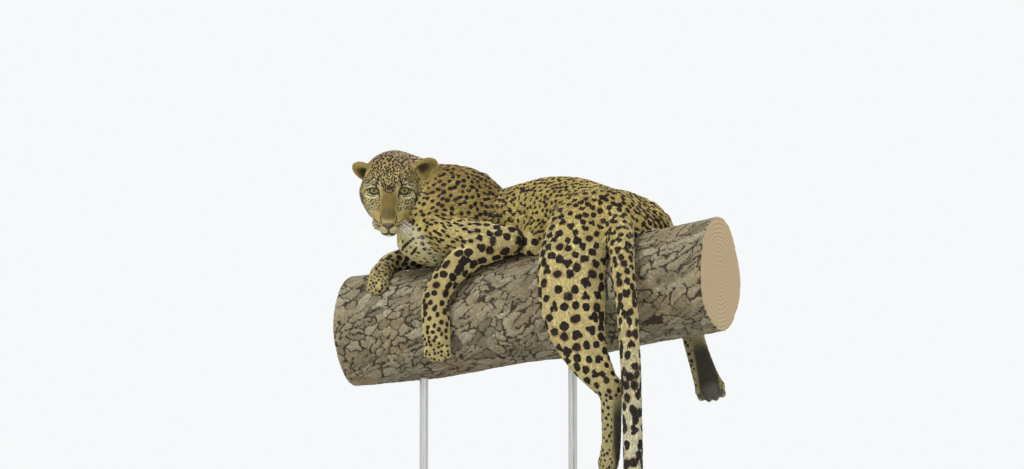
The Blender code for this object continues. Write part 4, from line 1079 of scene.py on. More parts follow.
def soles_of(points, normals, path, along, on_head):
    """How far each point is on the dark strip from the hock to the pads."""
    sole = np.zeros(len(points))
    for number, name, foot in ((4, "hind_left", FOOT_LEFT_HIND), (5, "hind_right", FOOT_RIGHT_HIND)):
        across, face = paw_parts(PAWS[name])[2:4]
        aside = np.abs((points - foot[-1][:3]) @ across)
        strip = step01(0.030, 0.020, aside) * step01(-0.05, 0.30, normals @ face)
        sole += np.where(path == number, strip, 0) * step01(0.70, 0.78, along) * (1 - on_head)
    return sole


def pads_of(points, normals):
    """How far each point is on one of the paws' bare pads."""
    pads = np.zeros(len(points))
    for start, way, across, face, step, length, r in map(paw_parts, PAWS.values()):
        facing = step01(0.25, 0.5, normals @ face)
        spots = [(start + face * r * 1.25 + way * 0.002, 0.0215, 0.0165)]
        for place in TOES:
            tip = toe_tip(start, way, across, place, step, length, r)
            spots.append((tip + face * r * 0.55, 0.0125, 0.0095))
        for spot, edge, full in spots:
            pads = np.maximum(pads, step01(edge, full, np.linalg.norm(points - spot, axis=1)) * facing)
    return pads


def markings(points, normals, blobs=None):
    """Everything the coat needs at each point of the skin, as arrays. Spots are sown if none are given."""
    lie, path, along = coat_ways(points)
    q = in_head(points)
    flat = face_plane(q)
    on_head = step01(-0.026, 0.016, head_side(points))
    lie = tangent(lie * (1 - on_head[:, None]) + head_lie(q) @ HEAD_AXES * on_head[:, None], normals)
    side = np.cross(normals, lie)
    sizes = head_sizes(q, spot_sizes(path, along), on_head)
    front = on_head * step01(0.10, 0.45, -(normals @ HEAD_Y) * 0.8 + 0.25) * step01(55, 30, q[:, 1])
    ears, cup, pit = ear_shares(q, normals, on_head)

    bridge = front * step01(21, 15, flat[:, 0]) * step01(4, -8, flat[:, 1] + 0.25 * flat[:, 0])
    muzzle = front * step01(-60, -66, flat[:, 1] - 0.35 * flat[:, 0]) * step01(50, 40, flat[:, 0])
    eye_ring = front * step01(26, 20, np.hypot((flat[:, 0] - 41) * 0.95, (flat[:, 1]) * 1.35))
    chin = on_head * step01(-98, -104, flat[:, 1]) * step01(50, 20, q[:, 1])
    bare_face = np.clip(bridge + muzzle + eye_ring + chin + ears, 0, 1)

    torso = np.isin(path, (0, 1))
    belly = step01(0.15, 0.75, -normals[:, 2]) * torso * (1 - on_head)
    chest = step01(-0.225, -0.265, points[:, 0]) * step01(0.815, 0.785, points[:, 2]) * (1 - on_head) * torso
    coat = {
        "lie": lie, "on_head": on_head, "front": front, "ears": ears, "cup": cup, "pit": pit, "path": path,
        "along": along, "belly": belly, "chest": chest, "flat": flat, "q": q, "chin": chin, "muzzle": muzzle,
    }
    if blobs is None:
        blobs = spots_for(points, lie, side, sizes, coat, bare_face)
    dark, brown = blob_distance(points, blobs)
    coarse = waves(points, 0.010, 3) * np.minimum(sizes[:, 3], 0.006) * 0.16
    dark = dark + (coarse + waves(points, 0.0045, 4) * sizes[:, 3] * 0.07)
    for bar in CHEST_BARS:
        dark = np.minimum(dark, line_distance(points, bar) - 0.0032)
    dark = blend(dark, CLEAR, np.clip(bare_face * 1.6, 0, 1))
    lines, mouth = face_strokes(points, q, flat, front, on_head)
    dark = np.minimum(dark, lines)
    sole = soles_of(points, normals, path, along, on_head)

    nose = np.sqrt(((q - np.array((0, -91, -50))) ** 2 / np.array((15.5, 12, 10.5)) ** 2).sum(1))
    both = mirrored(q)
    # The nostrils are painted near black: painted shade in their openings.
    holes = step01(4.2, 2.6, line_distance(both, NOSTRIL)) * (both[:, 1] < -60)
    coat.update(
        blobs=blobs, dark=blend(dark, CLEAR, sole), brown=blend(brown, CLEAR, sole),
        tone=coat_tones(points, normals, coat, sole), pads=pads_of(points, normals),
        leather=on_head * step01(1.10, 0.92, nose) * step01(-77, -79.5, flat[:, 1]),
        holes=np.maximum(holes, step01(0.8, -0.6, mouth)) * on_head,
    )
    return coat


# The hair of the marks, and the bare skin of pads and nose.
BROWN_HAIR, DARK_HAIR = (0.34, 0.20, 0.062, 1), (0.020, 0.013, 0.009, 1)
PAD_BLACK, NOSE_LEATHER = (0.050, 0.040, 0.034, 1), (0.120, 0.074, 0.047, 1)
# The spots that the skin has sown, for the tufts to carry too.
SPOTS_SOWN = {}


def coat_fields(coat):
    """The values that the skin and the tufts carry: marks, colour, lie and length of the hair."""
    q, path, along, on_head = coat["q"], coat["path"], coat["along"], coat["on_head"]
    bare = np.maximum(coat["leather"], coat["pads"])
    hair = np.full(len(q), 0.013)
    limb = np.isin(path, (2, 3, 4, 5))
    hair = np.where(limb, blend(0.013, 0.0065, step01(0.15, 0.85, along)), hair)
    hair = np.where(path == 6, blend(0.013, 0.018, along), hair)
    hair = np.where(path == 0, 0.012, hair)
    hair = blend(hair, 0.016, coat["belly"] * ~limb)
    hair = blend(hair, 0.0115, coat["chest"])
    face = step01(10, 75, coat["flat"][:, 1])
    hair = blend(hair, blend(0.0042, 0.0075, face), on_head)
    hair = blend(hair, 0.0105, on_head * step01(48, 70, np.abs(q[:, 0])) * step01(20, -10, q[:, 2]))
    hair = blend(hair, 0.0060, coat["chin"])
    hair = blend(hair, 0.0024, coat["muzzle"] * step01(-85, -78, coat["flat"][:, 1]))
    hair = blend(hair, 0.0042, coat["ears"])
    return {
        "dark": coat["dark"] * 1000, "brown": coat["brown"] * 1000, "tone": coat["tone"], "lie": coat["lie"],
        "hair": hair * 1000, "bare": bare, "leather": coat["leather"], "holes": coat["holes"],
    }


def carry(mesh, fields):
    """Stores arrays on the points of a mesh."""
    for name, values in fields.items():
        kind, slot = ("FLOAT_VECTOR", "vector") if values.ndim == 2 else ("FLOAT", "value")
        layer = mesh.attributes.new(name, kind, "POINT")
        layer.data.foreach_set(slot, np.ascontiguousarray(values, dtype=np.float32).ravel())


def new_material(name):
    material = bpy.data.materials.new(name)
    material.use_nodes = True
    tree = material.node_tree
    return material, tree, tree.nodes["Principled BSDF"]


def give(tree, shader, sockets):
    """Sets the shader's inputs to values, or joins them to other outputs."""
    for key, value in sockets.items():
        if isinstance(value, bpy.types.NodeSocket):
            tree.links.new(value, shader.inputs[key])
        else:
            shader.inputs[key].default_value = value


def node(tree, kind, inputs=None, **settings):
    """A new node with its settings and its inputs."""
    made = tree.nodes.new(kind)
    for key, value in settings.items():
        setattr(made, key, value)
    give(tree, made, inputs or {})
    return made


def maths(tree, kind, *values):
    return node(tree, "ShaderNodeMath", dict(enumerate(values)), operation=kind).outputs[0]


def mixed(tree, share, a, b, kind="MIX"):
    return node(tree, "ShaderNodeMix", {0: share, 6: a, 7: b}, data_type="RGBA", blend_type=kind).outputs[2]


def value_of(tree, name, output="Fac"):
    """A value that the points carry."""
    return node(tree, "ShaderNodeAttribute", attribute_name=name, attribute_type="GEOMETRY").outputs[output]


def place_in(tree):
    return node(tree, "ShaderNodeTexCoord").outputs["Object"]


def noise_of(tree, place, scale, **inputs):
    return node(tree, "ShaderNodeTexNoise", {"Vector": place, "Scale": scale, **inputs}).outputs["Fac"]


def ranged(tree, value, low, high, to_low, to_high, **settings):
    inputs = {"Value": value, 1: low, 2: high, 3: to_low, 4: to_high}
    return node(tree, "ShaderNodeMapRange", inputs, **settings).outputs[0]


def coat_colour(tree, crisp):
    """The colour of the coat from the marks it carries."""
    noise = noise_of(tree, place_in(tree), 420.0, Detail=3.0)
    wobble = maths(tree, "MULTIPLY", maths(tree, "SUBTRACT", noise, 0.5), 1.6)
    dark = maths(tree, "SUBTRACT", maths(tree, "ADD", value_of(tree, "dark"), wobble), 0.35)
    mark = ranged(tree, dark, -crisp, crisp, 1.0, 0.0, interpolation_type="SMOOTHSTEP")
    brown = ranged(tree, value_of(tree, "brown"), -1.0, 1.0, 0.6, 0.0)
    ground = mixed(tree, brown, value_of(tree, "tone", "Color"), BROWN_HAIR)
    ground = mixed(tree, 1.0, ground, ranged(tree, noise, 0.3, 0.7, 0.88, 1.10), "MULTIPLY")
    return mixed(tree, mark, ground, DARK_HAIR)


def fur_material(name):
    """Short fur on the skin, with the bare leather and pads."""
    material, tree, shader = new_material(name)
    colour = coat_colour(tree, 0.45)
    leather = value_of(tree, "leather")
    bare = value_of(tree, "bare")
    place = place_in(tree)
    grain = node(tree, "ShaderNodeTexVoronoi", {"Vector": place, "Scale": 900.0}).outputs["Distance"]
    fine = noise_of(tree, place, 1300.0, Detail=2.0)
    bump(tree, shader, maths(tree, "ADD", maths(tree, "MULTIPLY", grain, bare), fine), 0.35, 0.0006)
    colour = mixed(tree, bare, colour, mixed(tree, leather, PAD_BLACK, NOSE_LEATHER))
    # Near black at the holes: painted shade in the nostrils, and along the mouth the lips' own black.
    colour = mixed(tree, value_of(tree, "holes"), colour, (0.012, 0.009, 0.008, 1))
    rough = ranged(tree, bare, 0.0, 1.0, 0.62, 0.42)
    give(tree, shader, {
        "Base Color": colour, "Roughness": rough, "Sheen Weight": 0.12, "Specular IOR Level": 0.35,
    })
    return material


def shown(name, points, faces, material):
    """A new mesh object at the origin, from points and faces."""
    mesh = bpy.data.meshes.new(name)
    mesh.from_pydata(np.asarray(points).tolist(), [], [list(f) for f in faces])
    mesh.update()
    return placed(name, mesh, material)


def placed(name, mesh, material=None):
    """A new object of a mesh, at the origin and smooth."""
    mesh.polygons.foreach_set("use_smooth", np.full(len(mesh.polygons), True))
    obj = bpy.data.objects.new(name, mesh)
    bpy.context.scene.collection.objects.link(obj)
    if material:
        mesh.materials.append(material)
    return obj


def points_of(mesh):
    """The points of a mesh and their normals."""
    points = np.empty(len(mesh.vertices) * 3)
    mesh.vertices.foreach_get("co", points)
    return points.reshape(-1, 3), np.array([n.vector[:] for n in mesh.vertex_normals])


def triangles(mesh):
    return sum(len(f.vertices) - 2 for f in mesh.polygons)


class LEOPARD_OT_skin(bpy.types.Operator):
    """Nets the skin from the named forms, in one closed piece"""
    bl_idname = "leopard.skin"
    bl_label = "Skin"

    def execute(self, context):
        mesh = bpy.data.meshes.new("skin")
        form = skin_mesh()
        form.to_mesh(mesh)
        form.free()
        mesh.update()
        coat = markings(*points_of(mesh))
        SPOTS_SOWN["blobs"] = coat["blobs"]
        carry(mesh, coat_fields(coat))
        skin = placed("skin", mesh, fur_material("skin_fur"))
        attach(skin, "root")
        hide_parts(*FLESH)
        print("skin triangles", triangles(mesh))
        return {"FINISHED"}


# Pieces of the coat: name, slot of the part, and its share of the roots as a number of tufts.
COAT_PIECES = (
    ("coat_face", "body_coat", 18500), ("coat_crown", "body_coat", 17500), ("coat_neck", "body_coat", 15500),
    ("coat_flank", "body_coat", 19000), ("coat_hips", "body_coat", 15000),
    ("coat_arm_left", "limb_coat", 13500), ("coat_arm_right", "limb_coat", 8500),
    ("coat_leg_left", "limb_coat", 17500), ("coat_leg_right", "limb_coat", 9500),
    ("coat_tail", "body_coat", 8500),
)
# The ring of a tuft, root, middle or tip, that each of its points belongs to.
LOCK_RINGS = (0, 0, 0, 1, 1, 1, 2)
# How far along a tuft each of its rings takes its marks from the skin.
RING_REACH = (0.0, 0.46, 1.0)
# A tuft has ten triangles, and a piece stays under 200,000.
MOST_TUFTS = 19900
# The ears' patches lie in the corners of the unwrap, this far apart.
EAR_CORNER = 0.87


def piece_of(coat):
    """The number in COAT_PIECES of each root."""
    path, along = coat["path"], coat["along"]
    trunk = np.where((path == 0) | (along < 0.20), 2, np.where(along < 0.58, 3, 4))
    return np.where(
        coat["on_head"] > 0.5, np.where(coat["front"] > 0.30, 0, 1), np.where(path < 2, trunk, path + 3),
    )


def turns_round(points, path, along):
    """How far round its path each point lies, as a share of a turn."""
    turn = np.zeros(len(points))
    for number, rows in enumerate(COAT_PATHS.values()):
        at = np.nonzero(path == number)[0]
        if not len(at):
            continue
        lengths, marks = path_lengths(rows)
        marks = marks / lengths.sum()

        def between(table):
            return np.column_stack([np.interp(along[at], marks, column) for column in table.T])

        axis, way = between(rows[:, :3]), between(np.gradient(rows[:, :3], axis=0))
        way /= np.linalg.norm(way, axis=1)[:, None]
        hint = np.array((0.05, 0.2, 1.0) if number < 2 else (0.35, 0.9, 0.2))
        first = hint - (way @ hint)[:, None] * way
        first /= np.linalg.norm(first, axis=1)[:, None]
        away = points[at] - axis
        angle = np.arctan2((away * np.cross(way, first)).sum(1), (away * first).sum(1))
        turn[at] = angle / (2 * math.pi) + 0.5
    return turn


def unwrapped(points, coat, piece):
    """A place on an unwrap of the skin for each root: round and along each limb, outwards from the nose."""
    u, v = np.full((2, len(points)), 0.5)
    path, along, q = coat["path"], coat["along"], coat["q"]
    turn = turns_round(points, path, along)
    for number in range(2, len(COAT_PIECES)):
        at = np.nonzero(piece == number)[0]
        if len(at):
            run = along[at] + np.where(path[at] == 0, -1.02, 0.0)
            u[at], v[at] = turn[at], (run - run.min()) / (run.max() + 1e-6 - run.min())
    head = np.nonzero(piece < 2)[0]
    way = q[head] - np.array((0.0, 25.0, -8.0))
    way /= np.linalg.norm(way, axis=1)[:, None]
    polar = np.arccos(np.clip(-way[:, 1], -1, 1)) / math.pi
    ring = np.arctan2(way[:, 2], way[:, 0])
    u[head], v[head] = 0.5 + 0.5 * polar * np.cos(ring), 0.5 + 0.5 * polar * np.sin(ring)
    for number, ear in enumerate(EARS.values()):
        d = (q - np.array(ear[0])) @ ear_axes(ear).T
        at = (piece < 2) & (coat["ears"] > 0.4) & ((q[:, 0] < 0) == (number == 0))
        u[at] = np.clip(0.065 + d[at, 1] * 0.0018, 0.01, 0.12) + EAR_CORNER * number
        v[at] = np.clip(0.065 + d[at, 0] * 0.0014, 0.01, 0.12) + EAR_CORNER * (coat["cup"][at] > 0.5)
    return 0.006 + 0.985 * np.clip(np.column_stack((u, v)), 0, 1)


def coat_roots(skin, share):
    """The root of every tuft: places and normals on the skin."""
    mesh = skin.data
    points, normals = points_of(mesh)
    mesh.calc_loop_triangles()
    corners = np.empty(len(mesh.loop_triangles) * 3, int)
    mesh.loop_triangles.foreach_get("vertices", corners)
    corners = corners.reshape(-1, 3)
    hair = np.empty(len(mesh.vertices))
    mesh.attributes["hair"].data.foreach_get("value", hair)
    a, b, c = (points[corners[:, k]] for k in range(3))
    area = np.linalg.norm(np.cross(b - a, c - a), axis=1) / 2
    length = hair[corners].mean(1)
    weight = area / (length * (0.085 * length + 0.32)) ** 0.92
    rng = np.random.default_rng(31)
    count = int(share * sum(row[2] for row in COAT_PIECES))
    # One pick in each of many equal steps of the summed weights keeps the tufts evenly spread.
    order = np.argsort(rng.random(len(weight)))
    steps = np.cumsum(weight[order]) / weight.sum()
    picks = (np.arange(count) + rng.random(count)) / count
    at = order[np.searchsorted(steps, picks).clip(0, len(weight) - 1)]
    r1, r2 = np.sqrt(rng.random(count)), rng.random(count)
    parts = np.column_stack((1 - r1, r1 * (1 - r2), r1 * r2))[:, :, None]
    normal = (normals[corners[at]] * parts).sum(1)
    return (points[corners[at]] * parts).sum(1), normal / np.linalg.norm(normal, axis=1)[:, None]


def lock_mesh():
    """One tuft lying along +Y, in shares of its own width, length and height."""
    points = np.array((
        (-0.75, 0, -0.30), (0.75, 0, -0.30), (0, -0.04, 0.10), (-0.9, 0.50, 0.38), (0.9, 0.50, 0.38),
        (0, 0.46, 0.80), (0, 1, 0.86),
    ))
    faces = [(1, 0, 2), (0, 1, 4, 3), (1, 2, 5, 4), (2, 0, 3, 5), (3, 4, 6), (4, 5, 6), (5, 3, 6)]
    mesh = bpy.data.meshes.new("lock")
    mesh.from_pydata(points.tolist(), [], faces)
    tip = points[:, 1].astype(np.float32)
    patch = np.column_stack((points[:, 0] * 0.5, tip - 0.5, np.zeros(len(points))))
    carry(mesh, {"tip": tip, "patch": patch})
    return bpy.data.objects.new("lock", mesh)


def locks_tree():
    """Geometry Nodes: a tuft at every root, turned to the lie of the coat and scaled to its own size."""
    tree = bpy.data.node_groups.new("locks", "GeometryNodeTree")
    for name, way, kind in (
        ("Roots", "INPUT", "Geometry"), ("Tuft", "INPUT", "Object"), ("Patch", "INPUT", "Float"),
        ("Fur", "INPUT", "Material"), ("Coat", "OUTPUT", "Geometry"),
    ):
        tree.interface.new_socket(name, in_out=way, socket_type="NodeSocket" + kind)
    given = tree.nodes.new("NodeGroupInput").outputs

    def made(kind, inputs, output=0, **settings):
        return node(tree, kind, inputs, **settings).outputs[output]

    def named(name):
        return made("GeometryNodeInputNamedAttribute", {"Name": name}, "Attribute", data_type="FLOAT_VECTOR")

    tuft = made("GeometryNodeObjectInfo", {"Object": given["Tuft"]}, "Geometry")
    roots = made("GeometryNodeMeshToPoints", {"Mesh": given["Roots"]})
    align = "FunctionNodeAlignRotationToVector"
    up = made(align, {"Vector": named("out")}, axis="Z", pivot_axis="AUTO")
    turned = made(align, {"Rotation": up, "Vector": named("lie")}, axis="Y", pivot_axis="Z")
    laid = made("GeometryNodeInstanceOnPoints", {
        "Points": roots, "Instance": tuft, "Rotation": turned, "Scale": named("size"),
    })
    real = made("GeometryNodeRealizeInstances", {"Geometry": laid})
    patch = made("ShaderNodeVectorMath", {0: named("patch"), "Scale": given["Patch"]}, operation="SCALE")
    spot = made("ShaderNodeVectorMath", {0: named("root"), 1: patch}, operation="ADD")
    kept = made(
        "GeometryNodeStoreNamedAttribute", {"Geometry": real, "Name": "OFBake", "Value": spot},
        data_type="FLOAT2", domain="CORNER",
    )
    covered = made("GeometryNodeSetMaterial", {"Geometry": kept, "Material": given["Fur"]})
    tree.links.new(covered, tree.nodes.new("NodeGroupOutput").inputs[0])
    return tree


def tuft_material():
    material, tree, shader = new_material("tuft_fur")
    colour = coat_colour(tree, 0.30)
    shade = ranged(tree, value_of(tree, "tip"), 0.0, 1.0, 0.90, 1.08)
    colour = mixed(tree, 1.0, colour, shade, "MULTIPLY")
    colour = mixed(tree, 1.0, colour, value_of(tree, "tint"), "MULTIPLY")
    give(tree, shader, {"Base Color": colour, "Roughness": 0.55, "Specular IOR Level": 0.3})
    return material


def growing(place, normal, lie, length, height, coat, bare):
    """Where tufts grow: off the bare leather, the eyes, nostrils and mouth, and clear of the bough."""
    both = mirrored(coat["q"])
    eye = np.linalg.norm(both - EYE_PLACE * 1000, axis=1)
    opening = (eye < (EYE_RADIUS + LID_THICK) * 1000 + 1.2) | (line_distance(both, LIP_LINE) < 3.0)
    opening |= (line_distance(coat["q"], PHILTRUM) < 2.2) | (line_distance(both, NOSTRIL) < 4.0)
    grows = (bare < 0.35) & ~((coat["on_head"] > 0.5) & opening)
    for reach in (0.35, 0.7, 1.0):
        at = place + lie * (length * reach)[:, None] + normal * (height * reach)[:, None]
        grows &= bough_room(at, 0.0010) < 0
    return grows


def tufts_mesh(name, place, fields, tree, inputs):
    """One piece of the coat: a tuft at every root, with what it carries."""
    roots = bpy.data.meshes.new(name + "_roots")
    roots.vertices.add(len(place))
    roots.vertices.foreach_set("co", place.ravel())
    carry(roots, fields)
    holder = bpy.data.objects.new(name + "_roots", roots)
    bpy.context.scene.collection.objects.link(holder)
    modifier = holder.modifiers.new("locks", "NODES")
    modifier.node_group = tree
    for item in tree.interface.items_tree:
        if item.in_out == "INPUT" and item.name in inputs:
            modifier[item.identifier] = inputs[item.name]
    bpy.context.view_layer.update()
    mesh = bpy.data.meshes.new_from_object(holder.evaluated_get(bpy.context.evaluated_depsgraph_get()))
    mesh.name = name
    for extra in ("out", "lie", "size", "root", "patch"):
        if extra in mesh.attributes:
            mesh.attributes.remove(mesh.attributes[extra])
    bpy.data.objects.remove(holder)
    bpy.data.meshes.remove(roots)
    return mesh


class LEOPARD_OT_coat(bpy.types.Operator):
    """Lays the coat on the skin, tuft by tuft, along the lie of the fur"""
    bl_idname = "leopard.coat"
    bl_label = "Coat"

    def execute(self, context):
        sizes = context.scene.leopard
        place, normal = coat_roots(bpy.data.objects["skin"], sizes.coat_share)
        coat = markings(place, normal, SPOTS_SOWN["blobs"])
        fields = coat_fields(coat)
        rng = np.random.default_rng(32)
        count = len(place)
        length = fields["hair"] * 0.001 * sizes.hair_length * rng.uniform(0.78, 1.18, count)
        width = (0.075 * length + 0.00030) * rng.uniform(0.8, 1.2, count)
        height = np.maximum(coat_depth(place) * rng.uniform(0.40, 0.80, count) + 0.0004, 0.0009)
        side = np.cross(normal, coat["lie"])
        lean = rng.normal(0, 0.16, count)
        lie = coat["lie"] * np.cos(lean)[:, None] + side * np.sin(lean)[:, None]
        place = place - normal * 0.0003
        kept = np.nonzero(growing(place, normal, lie, length, height, coat, fields["bare"]))[0]
        piece = piece_of(coat)
        tint = 1 + 0.05 * waves(place, 0.004, 41, 5) + rng.normal(0, 0.035, count)
        carried = {
            "out": normal, "lie": lie, "size": np.column_stack((width, length, height)),
            "root": np.column_stack((unwrapped(place, coat, piece), np.zeros(count))),
            "tone": fields["tone"], "tint": np.clip(tint, 0.7, 1.3),
        }
        rings = [
            markings(place + lie * (length * reach)[:, None], normal, SPOTS_SOWN["blobs"])
            for reach in RING_REACH
        ]
        lock, tree = lock_mesh(), locks_tree()
        inputs = {"Tuft": lock, "Patch": sizes.patch, "Fur": tuft_material()}
        total = 0
        for number, (name, slot, _) in enumerate(COAT_PIECES):
            at = kept[piece[kept] == number]
            if len(at) > MOST_TUFTS:
                at = rng.choice(at, MOST_TUFTS, replace=False)
            mesh = tufts_mesh(name, place[at], {key: rows[at] for key, rows in carried.items()}, tree, inputs)
            for key in ("dark", "brown"):
                marks = [ring[key][at] * 1000 for ring in rings]
                carry(mesh, {key: np.column_stack([marks[k] for k in LOCK_RINGS]).ravel()})
            obj = placed(name, mesh)
            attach(obj, "root")
            total += triangles(mesh)
        print("coat triangles", total)
        bpy.data.node_groups.remove(tree)
        bpy.data.objects.remove(lock)
        return {"FINISHED"}


# The way an eye looks, and how far its iris reaches from the gaze.
EYE_GAZE = (0.20, -0.955, 0.20)
IRIS_ANGLE = 0.66
# Whiskers on one side: place on the face and length in millimetres, and how much each droops.
WHISKERS = (
    ((25, -90), 62, 0.55), ((31, -89), 72, 0.62), ((37, -86), 78, 0.66), ((28, -84), 74, 0.48),
    ((34, -82), 84, 0.52), ((40, -80), 86, 0.56), ((30, -78), 78, 0.40), ((37, -76), 86, 0.42),
    ((43, -75), 80, 0.46), ((35, -71), 66, 0.32), ((41, -70), 70, 0.34), ((23, -95), 46, 0.70),
    ((29, -95), 52, 0.74),
)
BROW_HAIRS = (((36, 18), 30, -2.6), ((41, 19), 34, -2.2))
# The grid of the bark, the depth of its cracks, and the length and width of its plates, large and small.
BARK_AROUND = 300
BARK_ALONG = 400
BARK_DEPTH = 0.0058
PLATE = (0.037, 0.0195)
SMALL_PLATE = (0.017, 0.0055)
# How far the bark ends short of the sawn faces, and the rings of those faces as shares of the way out.
BARK_SHORT = 0.0012
SAWN_RINGS = (0.985, 0.9, 0.7, 0.45, 0.2)
# The lamps: name, place, size and power.
LAMPS = (
    ("key", (-0.9, -3.2, 3.6), 1.6, 120), ("fill", (3.2, -2.4, 1.6), 2.4, 20),
    ("back", (0.6, 2.8, 2.8), 1.8, 60),
)


def round_eye(middle, gaze):
    """An eyeball with its clear bulge, and on each point its angle from the gaze."""
    rings, around = 40, 48
    first = unit(np.cross(gaze, (0.0, 0.0, 1.0)))
    second = np.cross(gaze, first)
    points, angles, turns = [middle + gaze * (EYE_RADIUS + 0.0007)], [0.0], [0.0]
    for i in range(1, rings):
        angle = math.pi * (i / rings) ** 1.25
        bulge = 0.0007 * max(0.0, 1 - (angle / IRIS_ANGLE) ** 2) if angle < IRIS_ANGLE else 0.0
        for j in range(around):
            turn = 2 * math.pi * j / around
            across = first * math.cos(turn) + second * math.sin(turn)
            way = gaze * math.cos(angle) + across * math.sin(angle)
            points.append(middle + way * (EYE_RADIUS - 0.0001 + bulge))
            angles.append(angle)
            turns.append(turn)
    points.append(middle - gaze * (EYE_RADIUS - 0.0001))
    angles.append(math.pi)
    turns.append(0.0)
    faces = [(0, 1 + (j + 1) % around, 1 + j) for j in range(around)]
    for i in range(rings - 2):
        a, b = 1 + i * around, 1 + (i + 1) * around
        faces += [(a + j, a + (j + 1) % around, b + (j + 1) % around, b + j) for j in range(around)]
    last = 1 + (rings - 2) * around
    faces += [(last + j, last + (j + 1) % around, len(points) - 1) for j in range(around)]
    return np.array(points), [f[::-1] for f in faces], np.array(angles), np.array(turns)


def outward(mesh):
    """Turns the faces of a closed mesh outwards."""
    form = bmesh.new()
    form.from_mesh(mesh)
    bmesh.ops.recalc_face_normals(form, faces=form.faces[:])
    form.to_mesh(mesh)
    form.free()


def ramp(tree, value, *stops):
    """A colour for a value from 0 to 1. A stop's colour may be a single grey."""
    made = node(tree, "ShaderNodeValToRGB", {"Fac": value})
    elements = made.color_ramp.elements
    while len(elements) < len(stops):
        elements.new(1.0)
    for element, (place, colour) in zip(elements, stops):
        element.position = place
        element.color = (*colour, 1) if isinstance(colour, tuple) else (colour, colour, colour, 1)
    return made.outputs["Color"]


def eye_material():
    """Pale iris with its fibres, a round pupil, and the dark rim, under a wet surface."""
    material, tree, shader = new_material("eye_wet")
    angle = value_of(tree, "angle")
    fibres = noise_of(tree, value_of(tree, "fibre", "Vector"), 1.0, Detail=2.0)
    shift = maths(tree, "MULTIPLY", maths(tree, "SUBTRACT", fibres, 0.5), 0.05)
    colours = ramp(
        tree, maths(tree, "ADD", angle, shift), (0.0, 0.004), (0.180, 0.004), (0.205, (0.15, 0.13, 0.030)),
        (0.36, (0.29, 0.28, 0.095)), (0.58, (0.36, 0.36, 0.16)), (0.70, (0.22, 0.21, 0.10)),
        (0.78, (0.030, 0.022, 0.015)),
    )
    give(tree, shader, {
        "Base Color": colours, "Roughness": 0.45, "Specular IOR Level": 0.15,
        "Coat Weight": 0.45, "Coat Roughness": 0.03,
    })
    return material


def strand(points, radii, sides=4):
    """A tapering hair along a path."""
    points = np.array(points)
    verts, faces = [], []
    for p, w, r in zip(points, np.gradient(points, axis=0), radii):
        a = unit(np.cross(w, (0.13, 0.21, 0.97)))
        b = unit(np.cross(w, a))
        for k in range(sides):
            turn = 2 * math.pi * k / sides
            verts.append(p + r * (a * math.cos(turn) + b * math.sin(turn)))
    for i in range(len(points) - 1):
        for k in range(sides):
            n = (k + 1) % sides
            faces.append((i * sides + k, i * sides + n, (i + 1) * sides + n, (i + 1) * sides + k))
    faces += [tuple(range(sides))[::-1], tuple((len(points) - 1) * sides + k for k in range(sides))]
    return verts, faces


def on_face(skin_tree, a, v, side):
    """The place on the skin seen at this spot of the face from its front, in the frame of the part."""
    # A point far in front of the face is moved back along the line of sight to the skin.
    back = np.array((0.0, 0.891, -0.454))
    up = np.array((0.0, 0.454, 0.891))
    start = np.array((side * a, 0.0, 0.0)) + up * v - back * 160
    start = EYE_MIDDLE + start * 0.001 @ HEAD_AXES
    hit = skin_tree.ray_cast(Vector(start), Vector(back @ HEAD_AXES))
    return np.array(hit[0][:]) if hit[0] is not None else None


class LEOPARD_OT_eyes(bpy.types.Operator):
    """Sets the two eyes, with iris, pupil and a wet surface"""
    bl_idname = "leopard.eyes"
    bl_label = "Eyes"

    def execute(self, context):
        material = eye_material()
        for side, name in ((-1, "eye_right"), (1, "eye_left")):
            middle = eye_place(side)
            gaze = unit(np.array((side * EYE_GAZE[0], EYE_GAZE[1], EYE_GAZE[2]))) @ HEAD_AXES
            points, faces, angles, turns = round_eye(middle, gaze)
            obj = shown(name + "_ball", points, faces, material)
            outward(obj.data)
            fibre = np.column_stack((np.cos(turns) * 9, np.sin(turns) * 9, angles * 2.5))
            carry(obj.data, {"angle": angles, "fibre": fibre})
            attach(obj, "root")
            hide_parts(name)
        return {"FINISHED"}


